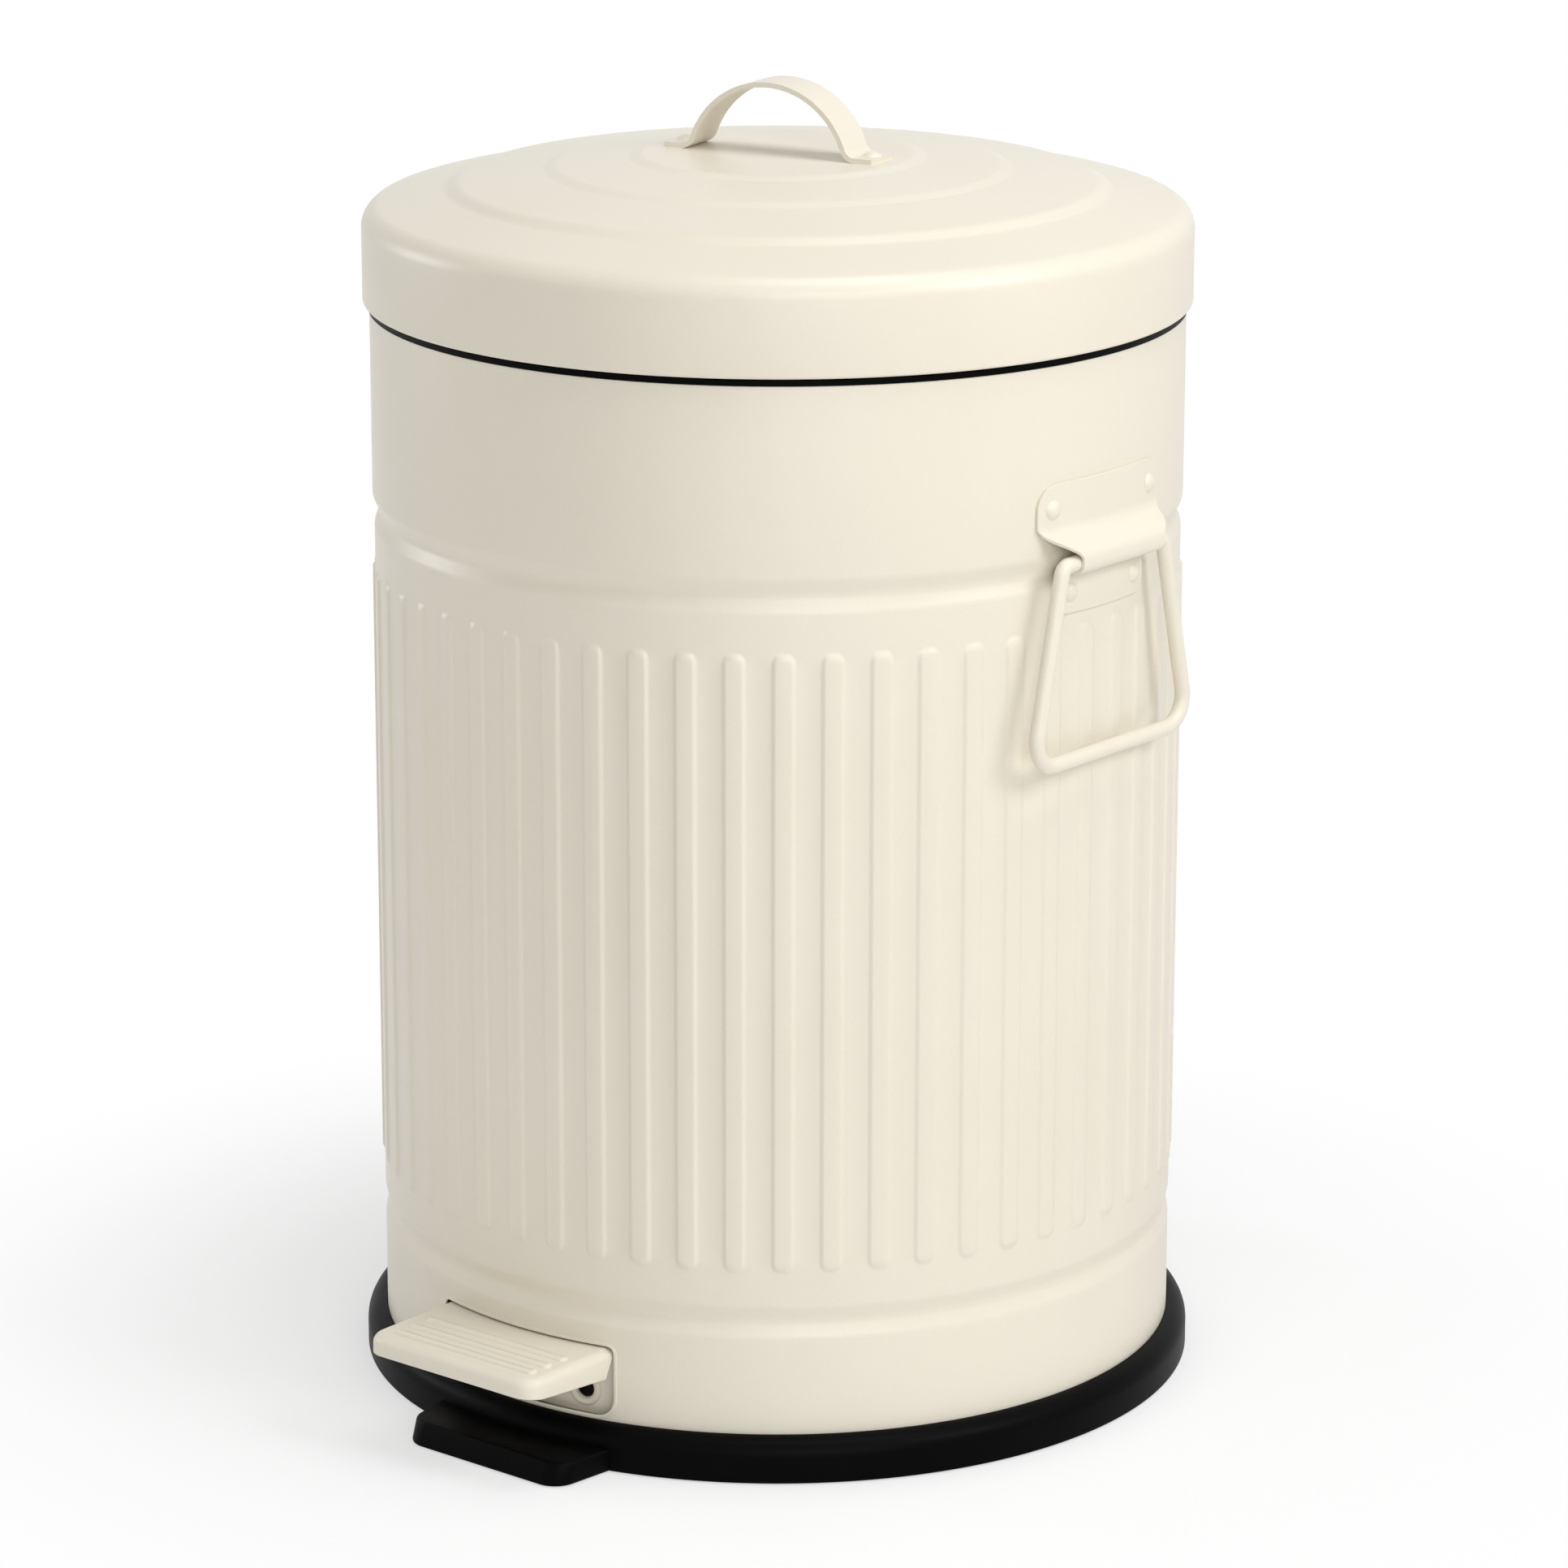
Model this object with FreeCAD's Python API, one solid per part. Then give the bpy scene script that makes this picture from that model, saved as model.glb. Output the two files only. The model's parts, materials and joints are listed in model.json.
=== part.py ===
"""A round 20 litre pedal bin in cream painted steel.

A ribbed steel body stands on a black plastic base ring with a toe tab. A domed steel lid is hinged at
the back and opened by a front pedal, through a lever under the floor pan and a rod up the back. Each
side has a wire bail in a riveted bracket, and the lid has a strap handle. A plastic bucket hangs inside.

Lengths are in millimetres. The origin is on the body's axis at the floor, +Z is up, the pedal is at -Y,
the lid's hinge is at +Y and the two bails are at +X and -X.
"""
import FreeCAD, Part
import math
import os

V = FreeCAD.Vector
ORIGIN = V(0, 0, 0)
X, Y, Z = V(1, 0, 0), V(0, 1, 0), V(0, 0, 1)

# ---------------------------------------------------------------- driving dimensions
# body
body_radius = 145.0          # outside of the plain lower body
body_height = 391.0          # top edge of the body
sheet = 0.9                  # body and lid steel
band_step = 0.6              # the plain upper band stands out by this much
groove_width = 11.2
groove_depth = 2.3
lower_groove_z = 57.6
upper_groove_z = body_height - 72.6
rib_count = 54
rib_width = 8.3
rib_height = 0.9
rib_bottom = lower_groove_z + 18.1
rib_top = upper_groove_z - 19.4

# pedal opening and rear slot in the body
opening_half_width = 40.0
opening_bottom = 17.5
opening_top = 44.3
opening_corner = 7.0
opening_lip = 1.4            # the pressed lip round the opening stands out by this much
slot_half_width = 10.5
slot_top = 47.0

# floor pan
pan_z = 50.0
pan_sheet = 1.2
pan_wall = 2.5               # the pan's edge is turned down by this much

# base ring, its toe tab and its rubber foot ring
foot_height = 2.0
base_lift = 0.4              # the rubber foot lifts the ring off the floor by this much
base_skirt = 7.4             # the ring stands out past the body by this much
base_radius = body_radius + base_skirt
base_height = 16.3
base_wall = 1.7              # wall between the body's edge and the ring's inside
tab_length = 16.6
tab_reach = base_radius + tab_length
tab_root_half = 38.8
tab_front_half = 32.8
tab_draft = 3.6              # the tab's foot stands out past its top by this much
tab_top = 8.7
tab_corner = 8.0
foot_ring_width = 5.0

# black rim collar and the bumpers on it
collar_flange = 2.0
collar_out = 1.0             # the flange stands out past the body's plain radius
collar_width = 11.0          # the collar reaches inwards from the body by this much
collar_bore = body_radius - collar_width
collar_spigot = 7.0
guard_radius = body_radius - 6.0
guard_height = 7.0
guard_wall = 2.5
pad_radius = 2.2
pad_height = 0.3

# lid
lid_overhang = 3.0
lid_radius = body_radius + lid_overhang
lid_gap = 0.3                # lid's edge above its bumpers
lid_height = 33.2            # lid's edge to the outer end of the dome
lid_hem = 4.2                # width of the turned-in edge
lid_shoulder = 8.0
step_shares = (0.7838, 0.5486, 0.3426)   # middle of each pressed step, as a share of the lid's radius
step_width = 4.4
step_heights = (2.7, 1.5, 1.3)
dome_rises = (6.3, 4.0, 2.5)       # rise of the dome outside each step

# strap handle on the lid
strap_width = 17.0
strap_sheet = 1.8
strap_height = 26.0          # top of the strap above the lid
strap_radius = 33.0
strap_bend = 4.0
strap_half_length = 41.5
strap_rivet_x = 37.6
strap_turn = 11.0            # degrees: the strap sits a little off the line of the bails

# side brackets and bails
bracket_sheet = 1.2
bracket_half_width = 34.6
bracket_top = upper_groove_z + 31.6
bracket_shoulder_z = upper_groove_z + 14.6
bracket_corner = 9.0
clip_half_width = 23.5
clip_top = upper_groove_z + 16.1
clip_bottom = upper_groove_z - 1.4
lower_plate_half = 24.5
lower_plate_bottom = upper_groove_z - 15.2
bail_z = upper_groove_z + 4.2
bail_offset = 5.6            # bail's axis out from the plain body
bail_wire = 2.75             # wire radius
bail_half_top = 29.0
bail_half_bottom = 45.3
bail_drop = 69.5
bail_shift = 1.5             # the bail hangs to one side by its play
bail_corner = 10.0
bail_top_corner = 4.0
upper_rivet_y = 27.8
upper_rivet_z = bracket_top - 9.0
lower_rivet_y = 18.3
lower_rivet_z = lower_plate_bottom + 7.4

# rivets
rivet_shank = 1.9
rivet_head = 3.5
rivet_dome = 1.6
rivet_tail = 1.0
rivet_tail_radius = 2.5
rivet_tail_gap = 0.05        # a flat tail clears the round wall by this much
groove_room = 0.5            # and the lower bracket rivets also clear the groove
hole_clearance = 0.1

# hinge at the back
hinge_reach = 20.0           # hinge axis behind the lid's skirt
hinge_drop = 11.0            # and below the body's top edge
hinge_y = lid_radius + hinge_reach
hinge_z = body_height - hinge_drop
pin_radius = 2.5
running_clearance = 0.05
knuckle_radius = 4.8
hinge_sheet = 2.0
hinge_half_width = 17.0      # half of the lid arm's width between the ears
ear_gap = 0.3
hinge_plate_half = 31.0
hinge_plate_height = 31.0
hinge_plate_top = body_height - 5.0
hinge_plate_bottom = hinge_plate_top - hinge_plate_height
hinge_rivet_x = 25.5
hinge_rivet_inset = 6.0
finger_reach = 14.0          # hinge axis to the centre of the finger's nose
finger_angle = 37.5          # degrees below the level at rest
finger_nose = 2.5
finger_half_width = 6.0
leaf_half_width = 16.0
leaf_height = 20.0
leaf_lift = 4.0              # leaf's lower edge above the lid's edge
leaf_rivet_z = 10.0          # rivets above the leaf's lower edge

# push rod, its cover and guides
rod_offset = 9.0             # rod's axis out from the plain body
rod_y = body_radius + rod_offset
rod_radius = 2.5
head_height = 6.0
head_half = 3.0
head_gap = 0.5               # play between the head and the finger
foot_radius = 4.0
foot_gap = 0.3               # play between the foot and the lever
cover_half_width = 13.0
cover_sheet = 1.0
cover_depth = 16.0
cover_flange = 11.0
cover_bottom = 18.0
cover_top = hinge_plate_bottom - 3.0
cover_rivet_zs = (cover_bottom + 16.0, cover_top - 62.0)
guide_height = 20.0
guide_zs = (cover_bottom + 52.0, cover_top - guide_height - 4.0)
slip = 0.1

# pedal and lever
pedal_reach = 38.5           # front of the tread out from the plain body
pedal_front = body_radius + pedal_reach
pedal_half_width = 39.0
pedal_top = 43.5
pedal_sheet = 1.2
pedal_flange = 7.0           # depth of the turned-down edge at the front
pedal_flange_rear = 12.0     # and beside the body
pedal_corner = 8.0
pedal_tail = body_radius - 19.0
grip_ribs = (pedal_front - 25.1, pedal_front - 16.6, pedal_front - 8.9)
grip_half_length = 30.2
grip_shift = 1.5             # the ridges sit a little to the right of the tread's middle
apron_radius = body_radius - 5.0     # outside of the apron that hangs inside the opening
apron_sheet = 1.2
apron_half_width = pedal_half_width - 1.0
apron_bottom = 18.6
apron_hole = 3.6
apron_hole_x = 24.7
apron_hole_z = 25.0
apron_lip = 1.6              # radius of the rolled lip round the hole
grip_radius = 2.2
grip_rise = 0.8
lever_half_width = 9.0
lever_sheet = 1.5
lever_depth = 10.0
lever_top = 30.0
lever_end = rod_y + 4.0
pivot_z = 26.0
pivot_radius = 3.0
pivot_plate_half = 26.0
pivot_plate_depth = 14.0
pivot_plate = 1.5
pivot_ear = 2.0
pivot_ear_gap = 1.0
pedal_rivet_y = body_radius - 12.0   # inside the body, out of sight
lever_front = body_radius + 21.0
lever_shelf = pedal_tail + 1.0       # inner end of the shelf that carries the tread
lever_slope_end = lever_shelf - 22.0
lever_nose_depth = 6.0
lever_front_z = 33.5         # underside where the lever crosses the base ring

# inner bucket and its bail
bucket_wall = 1.6
bucket_bottom_radius = collar_bore - 16.0
bucket_bottom_z = pan_z + 8.0
bucket_rim_gap = 1.7         # bucket's wall to the collar's bore
bucket_rim_radius = collar_bore + 3.6
bucket_bail_wire = 1.8
bucket_bail_radius = collar_bore - 4.0
bucket_bail_corner = 4.0
bucket_ear = 2.5
bucket_ear_half = 6.0

# ---------------------------------------------------------------- derived places
band_radius = body_radius + band_step
shell_bottom = base_lift + 3.6
collar_top = body_height + collar_flange
lid_edge = collar_top + pad_height + lid_gap
ear_inner = hinge_half_width + ear_gap
ear_outer = ear_inner + hinge_sheet
finger_y = hinge_y - finger_reach * math.cos(math.radians(finger_angle))
finger_z = hinge_z - finger_reach * math.sin(math.radians(finger_angle))
head_top = finger_z - finger_nose - head_gap
bail_radius = body_radius + bail_offset
bucket_rim_z = collar_top
bucket_bail_z = bucket_rim_z + bucket_wall + bucket_bail_wire + 0.3


# ---------------------------------------------------------------- shape helpers
def rounded(points, radii):
    """Edges along the points, with a tangent arc of the given radius at each inner point."""
    edges = []
    last = points[0]
    for before, corner, after, radius in zip(points, points[1:], points[2:], radii):
        back = (before - corner).normalize()
        ahead = (after - corner).normalize()
        half = back.getAngle(ahead) / 2
        cut = radius / math.tan(half)
        start = corner + back * cut
        end = corner + ahead * cut
        middle = corner + (back + ahead).normalize() * (radius / math.sin(half) - radius)
        if (start - last).Length > 1e-6:
            edges.append(Part.makeLine(last, start))
        if radius > 0:
            edges.append(Part.Arc(start, middle, end).toShape())
        last = end
    if (points[-1] - last).Length > 1e-6:
        edges.append(Part.makeLine(last, points[-1]))
    return edges


def outline(points, radii):
    """Closed wire through the points of a plane, with each corner rounded."""
    start = (points[0] + points[-1]) * 0.5
    ring = [start] + list(points) + [start]
    return Part.Wire(Part.__sortEdges__(rounded(ring, radii)))


def left_of(a, b):
    """Unit vector to the left of the way from a to b, in the XY plane."""
    way = (b - a).normalize()
    return V(-way.y, way.x, 0)


def strip(points, radii, thickness):
    """Closed section of bent sheet in the XY plane: the sheet lies to the left of the points."""
    normals = [left_of(a, b) for a, b in zip(points, points[1:])]
    inner = [points[0] + normals[0] * thickness]
    inner_radii = []
    for point, one, two, radius in zip(points[1:], normals, normals[1:], radii):
        inner.append(point + (one + two) * (thickness / (1 + one.dot(two))))
        turn = one.cross(two).z
        inner_radii.append(radius - math.copysign(thickness, turn) if radius > 0 else 0)
    inner.append(points[-1] + normals[-1] * thickness)
    edges = rounded(points, radii) + rounded(inner, inner_radii)
    edges.append(Part.makeLine(points[0], inner[0]))
    edges.append(Part.makeLine(points[-1], inner[-1]))
    return Part.Wire(Part.__sortEdges__(edges))


def flat(*pairs):
    """Points of the XY plane from pairs of numbers."""
    return [V(u, v, 0) for u, v in pairs]


def upright(shape):
    """Turn a shape of the XY plane into the XZ plane."""
    return shape.copy().rotated(ORIGIN, X, 90)


def sideways(shape):
    """Turn a shape of the XY plane into the YZ plane."""
    return upright(shape).rotated(ORIGIN, Z, 90)


def turned(wire, angle=360.0):
    """Solid of revolution about Z from a section of radius and height in the XY plane."""
    return Part.Face(upright(wire)).revolve(ORIGIN, Z, angle)


def across(wire, half_width):
    """Solid from a section of Y and Z in the XY plane, as wide as twice half_width along X."""
    face = Part.Face(sideways(wire))
    face.translate(V(-half_width, 0, 0))
    return face.extrude(V(2 * half_width, 0, 0))


def polygon(*pairs):
    points = flat(*pairs)
    return Part.makePolygon(points + points[:1])


def block(x0, x1, y0, y1, z0, z1):
    return Part.makeBox(x1 - x0, y1 - y0, z1 - z0, V(x0, y0, z0))


def rod_x(radius, half_length, y, z):
    """Cylinder along X, centred on the YZ plane."""
    return Part.makeCylinder(radius, 2 * half_length, V(-half_length, y, z), X)


def sleeve(inner, outer, bottom, top):
    ring = Part.makeCylinder(outer, top - bottom, V(0, 0, bottom))
    return ring.cut(Part.makeCylinder(inner, top - bottom, V(0, 0, bottom)))


def link(a, b, width):
    """Section of a straight bar between two points of the XY plane."""
    side = left_of(a, b) * (width / 2)
    points = [a + side, b + side, b - side, a - side]
    return Part.makePolygon(points + points[:1])


def rivet(seat, out, grip):
    """Domed rivet through a stack as thick as grip: seat is where its head lies, out is its direction."""
    grip += rivet_tail_gap
    low = -grip - rivet_tail
    dome_radius = (rivet_head ** 2 + rivet_dome ** 2) / (2 * rivet_dome)
    half = math.asin(rivet_head / dome_radius) / 2
    middle = V(dome_radius * math.sin(half), rivet_dome - dome_radius * (1 - math.cos(half)), 0)
    lines = flat((rivet_head, 0), (rivet_shank, 0), (rivet_shank, -grip), (rivet_tail_radius, -grip),
                 (rivet_tail_radius, low), (0, low), (0, rivet_dome))
    edges = [Part.makeLine(a, b) for a, b in zip(lines, lines[1:])]
    edges.append(Part.Arc(lines[-1], middle, lines[0]).toShape())
    body = turned(Part.Wire(edges))
    body.Placement = FreeCAD.Placement(seat, FreeCAD.Rotation(Z, out))
    return body


def rivet_hole(seat, out):
    """Hole for a rivet, long enough to pass through the stack under its head."""
    reach = 12.0
    return Part.makeCylinder(rivet_shank + hole_clearance, 2 * reach, seat - out * reach, out)


def radial(offset, height, radius, towards):
    """Seat and direction of a rivet on the round body, offset sideways from the towards direction."""
    side = Z.cross(towards)
    out = (towards * math.sqrt(radius ** 2 - offset ** 2) + side * offset).normalize()
    return out * radius + Z * height, out


def wire_along(edges, start, direction, radius):
    """Round wire along edges that begin at start."""
    section = Part.Wire(Part.makeCircle(radius, start, direction))
    return Part.Wire(edges).makePipeShell([section], True, False)


def save(name, shapes):
    shapes = shapes if isinstance(shapes, list) else [shapes]
    solids = [solid for shape in shapes for solid in shape.Solids]
    whole = solids[0] if len(solids) == 1 else Part.makeCompound(solids)
    whole.exportStep("parts/" + name + ".step")
    print(name, len(solids), "solid", whole.isValid(), round(whole.Volume))


# ---------------------------------------------------------------- rivet places
right_rivets = [radial(side * upper_rivet_y, upper_rivet_z, band_radius + bracket_sheet, X)
                for side in (-1, 1)]
right_rivets += [radial(side * lower_rivet_y, lower_rivet_z, body_radius + bracket_sheet, X)
                 for side in (-1, 1)]
hinge_rivets = [radial(side * hinge_rivet_x, height, band_radius + hinge_sheet, Y)
                for side in (-1, 1)
                for height in (hinge_plate_bottom + hinge_rivet_inset, hinge_plate_top - hinge_rivet_inset)]
cover_rest = body_radius + rib_height + slip
cover_seat = cover_rest + cover_sheet
cover_rivets = [radial(side * (cover_half_width + cover_flange / 2), height, cover_seat, Y)
                for side in (-1, 1) for height in cover_rivet_zs]
leaf_bottom = lid_edge + leaf_lift
leaf_rivets = [radial(side * leaf_half_width / 2, leaf_bottom + leaf_rivet_z, lid_radius + hinge_sheet, Y)
               for side in (-1, 1)]


def half_turn(places):
    """The same rivet places on the other side of the body."""
    return [(V(-seat.x, -seat.y, seat.z), V(-out.x, -out.y, out.z)) for seat, out in places]


# ---------------------------------------------------------------- body
def body_shell():
    half = groove_width / 2
    inner = body_radius - groove_depth
    points = flat(
        (body_radius, shell_bottom),
        (body_radius, lower_groove_z - half),
        (inner, lower_groove_z),
        (body_radius, lower_groove_z + half),
        (body_radius, upper_groove_z - half),
        (inner, upper_groove_z),
        (band_radius, upper_groove_z + half),
        (band_radius, body_height),
    )
    shell = turned(strip(points, [3.0] * 6, sheet))
    shell = shell.fuse(body_ribs()).fuse(opening_rim())
    cutters = [opening_block(0, body_radius + 10), rear_slot()]
    places = right_rivets + half_turn(right_rivets) + hinge_rivets + cover_rivets
    cutters += [rivet_hole(seat, out) for seat, out in places]
    cutters += [screw_hole(angle) for angle in screw_angles]
    return shell.cut(cutters)


def body_ribs():
    """Pressed ribs with rounded ends, evenly spaced, the first one at the front."""
    half = rib_width / 2
    ends = flat((-half, rib_bottom), (half, rib_bottom), (half, rib_top), (-half, rib_top))
    face = Part.Face(upright(outline(ends, [half * 0.98] * 4)))
    face.translate(V(0, -body_radius + sheet / 2, 0))
    rib = face.extrude(V(0, -sheet / 2 - rib_height, 0))
    crest = [edge for edge in rib.Edges if edge.BoundBox.YMax < -body_radius - rib_height / 2]
    rib = rib.makeFillet(rib_height * 0.8, crest)
    step = 360.0 / rib_count
    return [rib.rotated(ORIGIN, Z, step * number) for number in range(rib_count)]


def opening_block(grow, depth):
    """Solid through the front of the body with the outline of the pedal opening."""
    half = opening_half_width + grow
    low, high = opening_bottom - grow, opening_top + grow
    ends = flat((-half, low), (half, low), (half, high), (-half, high))
    wire = outline(ends, [opening_corner + grow, opening_corner + grow, 3.0 + grow, 3.0 + grow])
    face = Part.Face(upright(wire))
    face.translate(V(0, -depth, 0))
    return face.extrude(V(0, depth - body_radius * 0.8, 0))


def opening_rim():
    ring = sleeve(body_radius - sheet, body_radius + opening_lip, opening_bottom - 2, opening_top + 2)
    return ring.common(opening_block(sheet, body_radius + 10))


def rear_slot():
    depth = body_radius * 0.8
    return block(-slot_half_width, slot_half_width, depth, body_radius + 10, opening_bottom, slot_top)


def floor_pan():
    edge = body_radius - sheet - slip
    top = pan_z + pan_sheet
    pan = turned(strip(flat((edge, pan_z - pan_wall), (edge, top), (0, top)), [2.0], pan_sheet))
    return pan.cut([Part.makeCylinder(rivet_shank + hole_clearance, 20, V(x, y, pan_z - 10))
                    for x, y in pivot_rivet_places()])


# ---------------------------------------------------------------- base
screw_angles = (45, 135, 225, 315)
screw_z = 8.5
screw_shank = 1.6
screw_head = 3.2
screw_head_height = 1.8


def screw_place(angle):
    out = V(math.cos(math.radians(angle)), math.sin(math.radians(angle)), 0)
    return out * base_inner_radius() + Z * screw_z, out


def base_inner_radius():
    return body_radius - sheet - slip - base_wall


def screw_hole(angle):
    seat, out = screw_place(angle)
    length = body_radius - base_inner_radius() + 0.6
    return Part.makeCylinder(screw_shank + hole_clearance, length, seat, out)


def base_ring():
    inner = base_inner_radius()
    seat_in = body_radius - sheet - slip
    seat_out = body_radius + slip
    section = outline(flat(
        (inner, base_lift), (base_radius, base_lift), (base_radius, base_height),
        (seat_out, base_height), (seat_out, shell_bottom),
        (seat_in, shell_bottom), (seat_in, base_height - 4), (inner, base_height - 4)),
        [0, 0.8, base_skirt - 0.3, 0, 0, 0, 0.8, 0.8])
    ring = turned(section).fuse(toe_tab()).removeSplitter()
    return ring.cut([screw_hole(angle) for angle in screw_angles] + [foot_ring()])


def toe_tab():
    """Flat tab under the pedal, rooted in the ring's skirt."""
    root = body_radius * 0.945
    wires = []
    for grow, height in ((tab_draft, base_lift), (0, tab_top)):
        points = flat((-tab_root_half - grow, -root), (-tab_front_half - grow, -tab_reach - grow),
                      (tab_front_half + grow, -tab_reach - grow), (tab_root_half + grow, -root))
        wire = outline(points, [0, tab_corner, tab_corner, 0])
        wire.translate(V(0, 0, height))
        wires.append(wire)
    tab = Part.makeLoft(wires, True, True)
    front = [edge for edge in tab.Edges
             if edge.BoundBox.ZMin > tab_top - 0.1 and edge.BoundBox.YMax < -root - 1]
    tab = tab.makeFillet(1.2, front)
    return tab.cut(Part.makeCylinder(body_radius + 2, tab_top * 2))


def foot_ring():
    """Rubber ring that sits in a groove under the base."""
    middle = (base_inner_radius() + base_radius) / 2
    half = foot_ring_width / 2
    return sleeve(middle - half, middle + half, 0, foot_height)


def base_screws():
    screws = []
    for angle in screw_angles:
        seat, out = screw_place(angle)
        height = screw_head_height - slip
        head = Part.makeCylinder(screw_head, height, seat - out * screw_head_height, out)
        length = body_radius - base_inner_radius() + slip
        shank = Part.makeCylinder(screw_shank, length, seat - out * slip, out)
        screws.append(head.fuse(shank))
    return screws


# ---------------------------------------------------------------- rim collar and bumpers
def rim_collar():
    spigot = band_radius - sheet - slip
    flange = body_radius + collar_out
    guard = guard_radius + guard_wall
    return turned(polygon(
        (collar_bore, body_height), (spigot - guard_wall, body_height),
        (spigot - guard_wall, body_height - collar_spigot), (spigot, body_height - collar_spigot),
        (spigot, body_height), (flange, body_height), (flange, collar_top), (guard, collar_top),
        (guard, collar_top + guard_height), (guard_radius, collar_top + guard_height),
        (guard_radius, collar_top), (collar_bore, collar_top)))


def lid_pads():
    """Three rubber bumpers between the lid's turned-in edge and the collar."""
    middle = body_radius + collar_out - pad_radius - 0.1
    pads = []
    for angle in (30, 150, 270):
        out = V(math.cos(math.radians(angle)), math.sin(math.radians(angle)), 0)
        pads.append(Part.makeCylinder(pad_radius, pad_height, out * middle + Z * collar_top))
    return pads


# ---------------------------------------------------------------- lid
def lid_points():
    """Outside of the lid as radius and height, from its turned-in edge to its centre."""
    height = lid_edge + lid_height
    points = [(lid_radius - lid_hem, lid_edge), (lid_radius, lid_edge), (lid_radius, height)]
    radii = [1.3, lid_shoulder]
    for share, step, rise in zip(step_shares, step_heights, dome_rises):
        middle = lid_radius * share
        height += rise
        points.append((middle + step_width / 2, height))
        height += step
        points.append((middle - step_width / 2, height))
        radii += [4.0, 4.0]
    points.append((0, height))
    return flat(*points), radii


def lid_top():
    return lid_edge + lid_height + sum(step_heights) + sum(dome_rises)


def strap_rivet_places():
    turn = math.radians(strap_turn)
    return [V(side * strap_rivet_x * math.cos(turn), side * strap_rivet_x * math.sin(turn),
              lid_top() + strap_sheet) for side in (-1, 1)]


def lid_shell():
    points, radii = lid_points()
    lid = turned(strip(points, radii, sheet))
    holes = [rivet_hole(seat, out) for seat, out in leaf_rivets]
    holes += [rivet_hole(seat, Z) for seat in strap_rivet_places()]
    return lid.cut(holes)


def strap_side(radius, bend, foot):
    """One side of the strap's section: two flat feet, two bends and the arch."""
    centre = lid_top() + strap_height - strap_radius
    lift = foot + bend - centre
    bend_x = math.sqrt((radius + bend) ** 2 - lift ** 2)
    share = bend / (radius + bend)
    touch = V(bend_x * (1 - share), centre + lift * (1 - share), 0)
    middle_way = (V(0, -1, 0) + (touch - V(bend_x, foot + bend, 0)).normalize()).normalize()
    bend_mid = V(bend_x, foot + bend, 0) + middle_way * bend
    end, start = V(strap_half_length, foot, 0), V(bend_x, foot, 0)

    def other(point):
        return V(-point.x, point.y, 0)

    return [
        Part.makeLine(end, start),
        Part.Arc(start, bend_mid, touch).toShape(),
        Part.Arc(touch, V(0, centre + radius, 0), other(touch)).toShape(),
        Part.Arc(other(touch), other(bend_mid), other(start)).toShape(),
        Part.makeLine(other(start), other(end)),
    ]


def lid_strap():
    top = strap_side(strap_radius, strap_bend, lid_top() + strap_sheet)
    under = strap_side(strap_radius - strap_sheet, strap_bend + strap_sheet, lid_top())
    ends = [Part.makeLine(V(side * strap_half_length, lid_top(), 0),
                          V(side * strap_half_length, lid_top() + strap_sheet, 0)) for side in (-1, 1)]
    face = Part.Face(upright(Part.Wire(Part.__sortEdges__(top + under + ends))))
    face.translate(V(0, -strap_width / 2, 0))
    strap = face.extrude(V(0, strap_width, 0)).rotated(ORIGIN, Z, strap_turn)
    return strap.cut([rivet_hole(seat, Z) for seat in strap_rivet_places()])


def lid_strap_rivets():
    return [rivet(seat, Z, strap_sheet + sheet) for seat in strap_rivet_places()]


# ---------------------------------------------------------------- side brackets and bails
def plate_on_body(wire, radius, thickness, low, high):
    """Sheet bent to the body's radius, with an outline of sideways offset and height, at +X."""
    face = Part.Face(sideways(wire))
    face.translate(V(radius * 0.5, 0, 0))
    return sleeve(radius, radius + thickness, low, high).common(face.extrude(V(radius, 0, 0)))


def bracket_right():
    """One pressed bracket at +X: a wide plate above, a clip round the bail and a narrow plate below."""
    half, narrow, low = bracket_half_width, clip_half_width, lower_plate_half
    upper = outline(flat(
        (-narrow, clip_bottom + 9), (narrow, clip_bottom + 9), (half, bracket_shoulder_z),
        (half, bracket_top), (-half, bracket_top), (-half, bracket_shoulder_z)),
        [0, 0, 4.0, bracket_corner, bracket_corner, 4.0])
    lower = outline(flat((-low, lower_plate_bottom), (low, lower_plate_bottom),
                         (low, clip_bottom + 3), (-low, clip_bottom + 3)), [5.0, 5.0, 3.0, 3.0])
    plates = [
        plate_on_body(upper, band_radius, bracket_sheet, clip_bottom, bracket_top + 1),
        plate_on_body(lower, body_radius, bracket_sheet, lower_plate_bottom - 1, clip_bottom + 4),
    ]
    bracket = clip_right().fuse(plates).removeSplitter()
    return bracket.cut([rivet_hole(seat, out) for seat, out in right_rivets])


def clip_right():
    """The part of the bracket that is folded round the bail's top bar, and rooted in the two plates."""
    bore = bail_wire + running_clearance
    inner = bail_radius + bore
    low = bail_z - bore
    high_root = band_radius - bracket_sheet
    low_root = body_radius - bracket_sheet
    section = strip(flat(
        (high_root, clip_top + 4), (high_root, clip_top - 2), (inner, bail_z + bore + 0.8), (inner, low),
        (low_root, low), (low_root, clip_bottom - 3)), [6.0, 4.5, bore, 1.5], bracket_sheet)
    face = Part.Face(upright(section))
    face.translate(V(0, clip_half_width, 0))
    groove_z = upper_groove_z + groove_width / 2
    body = [Part.makeCylinder(body_radius + slip, groove_z),
            Part.makeCylinder(band_radius, body_height - groove_z, V(0, 0, groove_z))]
    return face.extrude(V(0, -2 * clip_half_width, 0)).cut(body)


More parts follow.
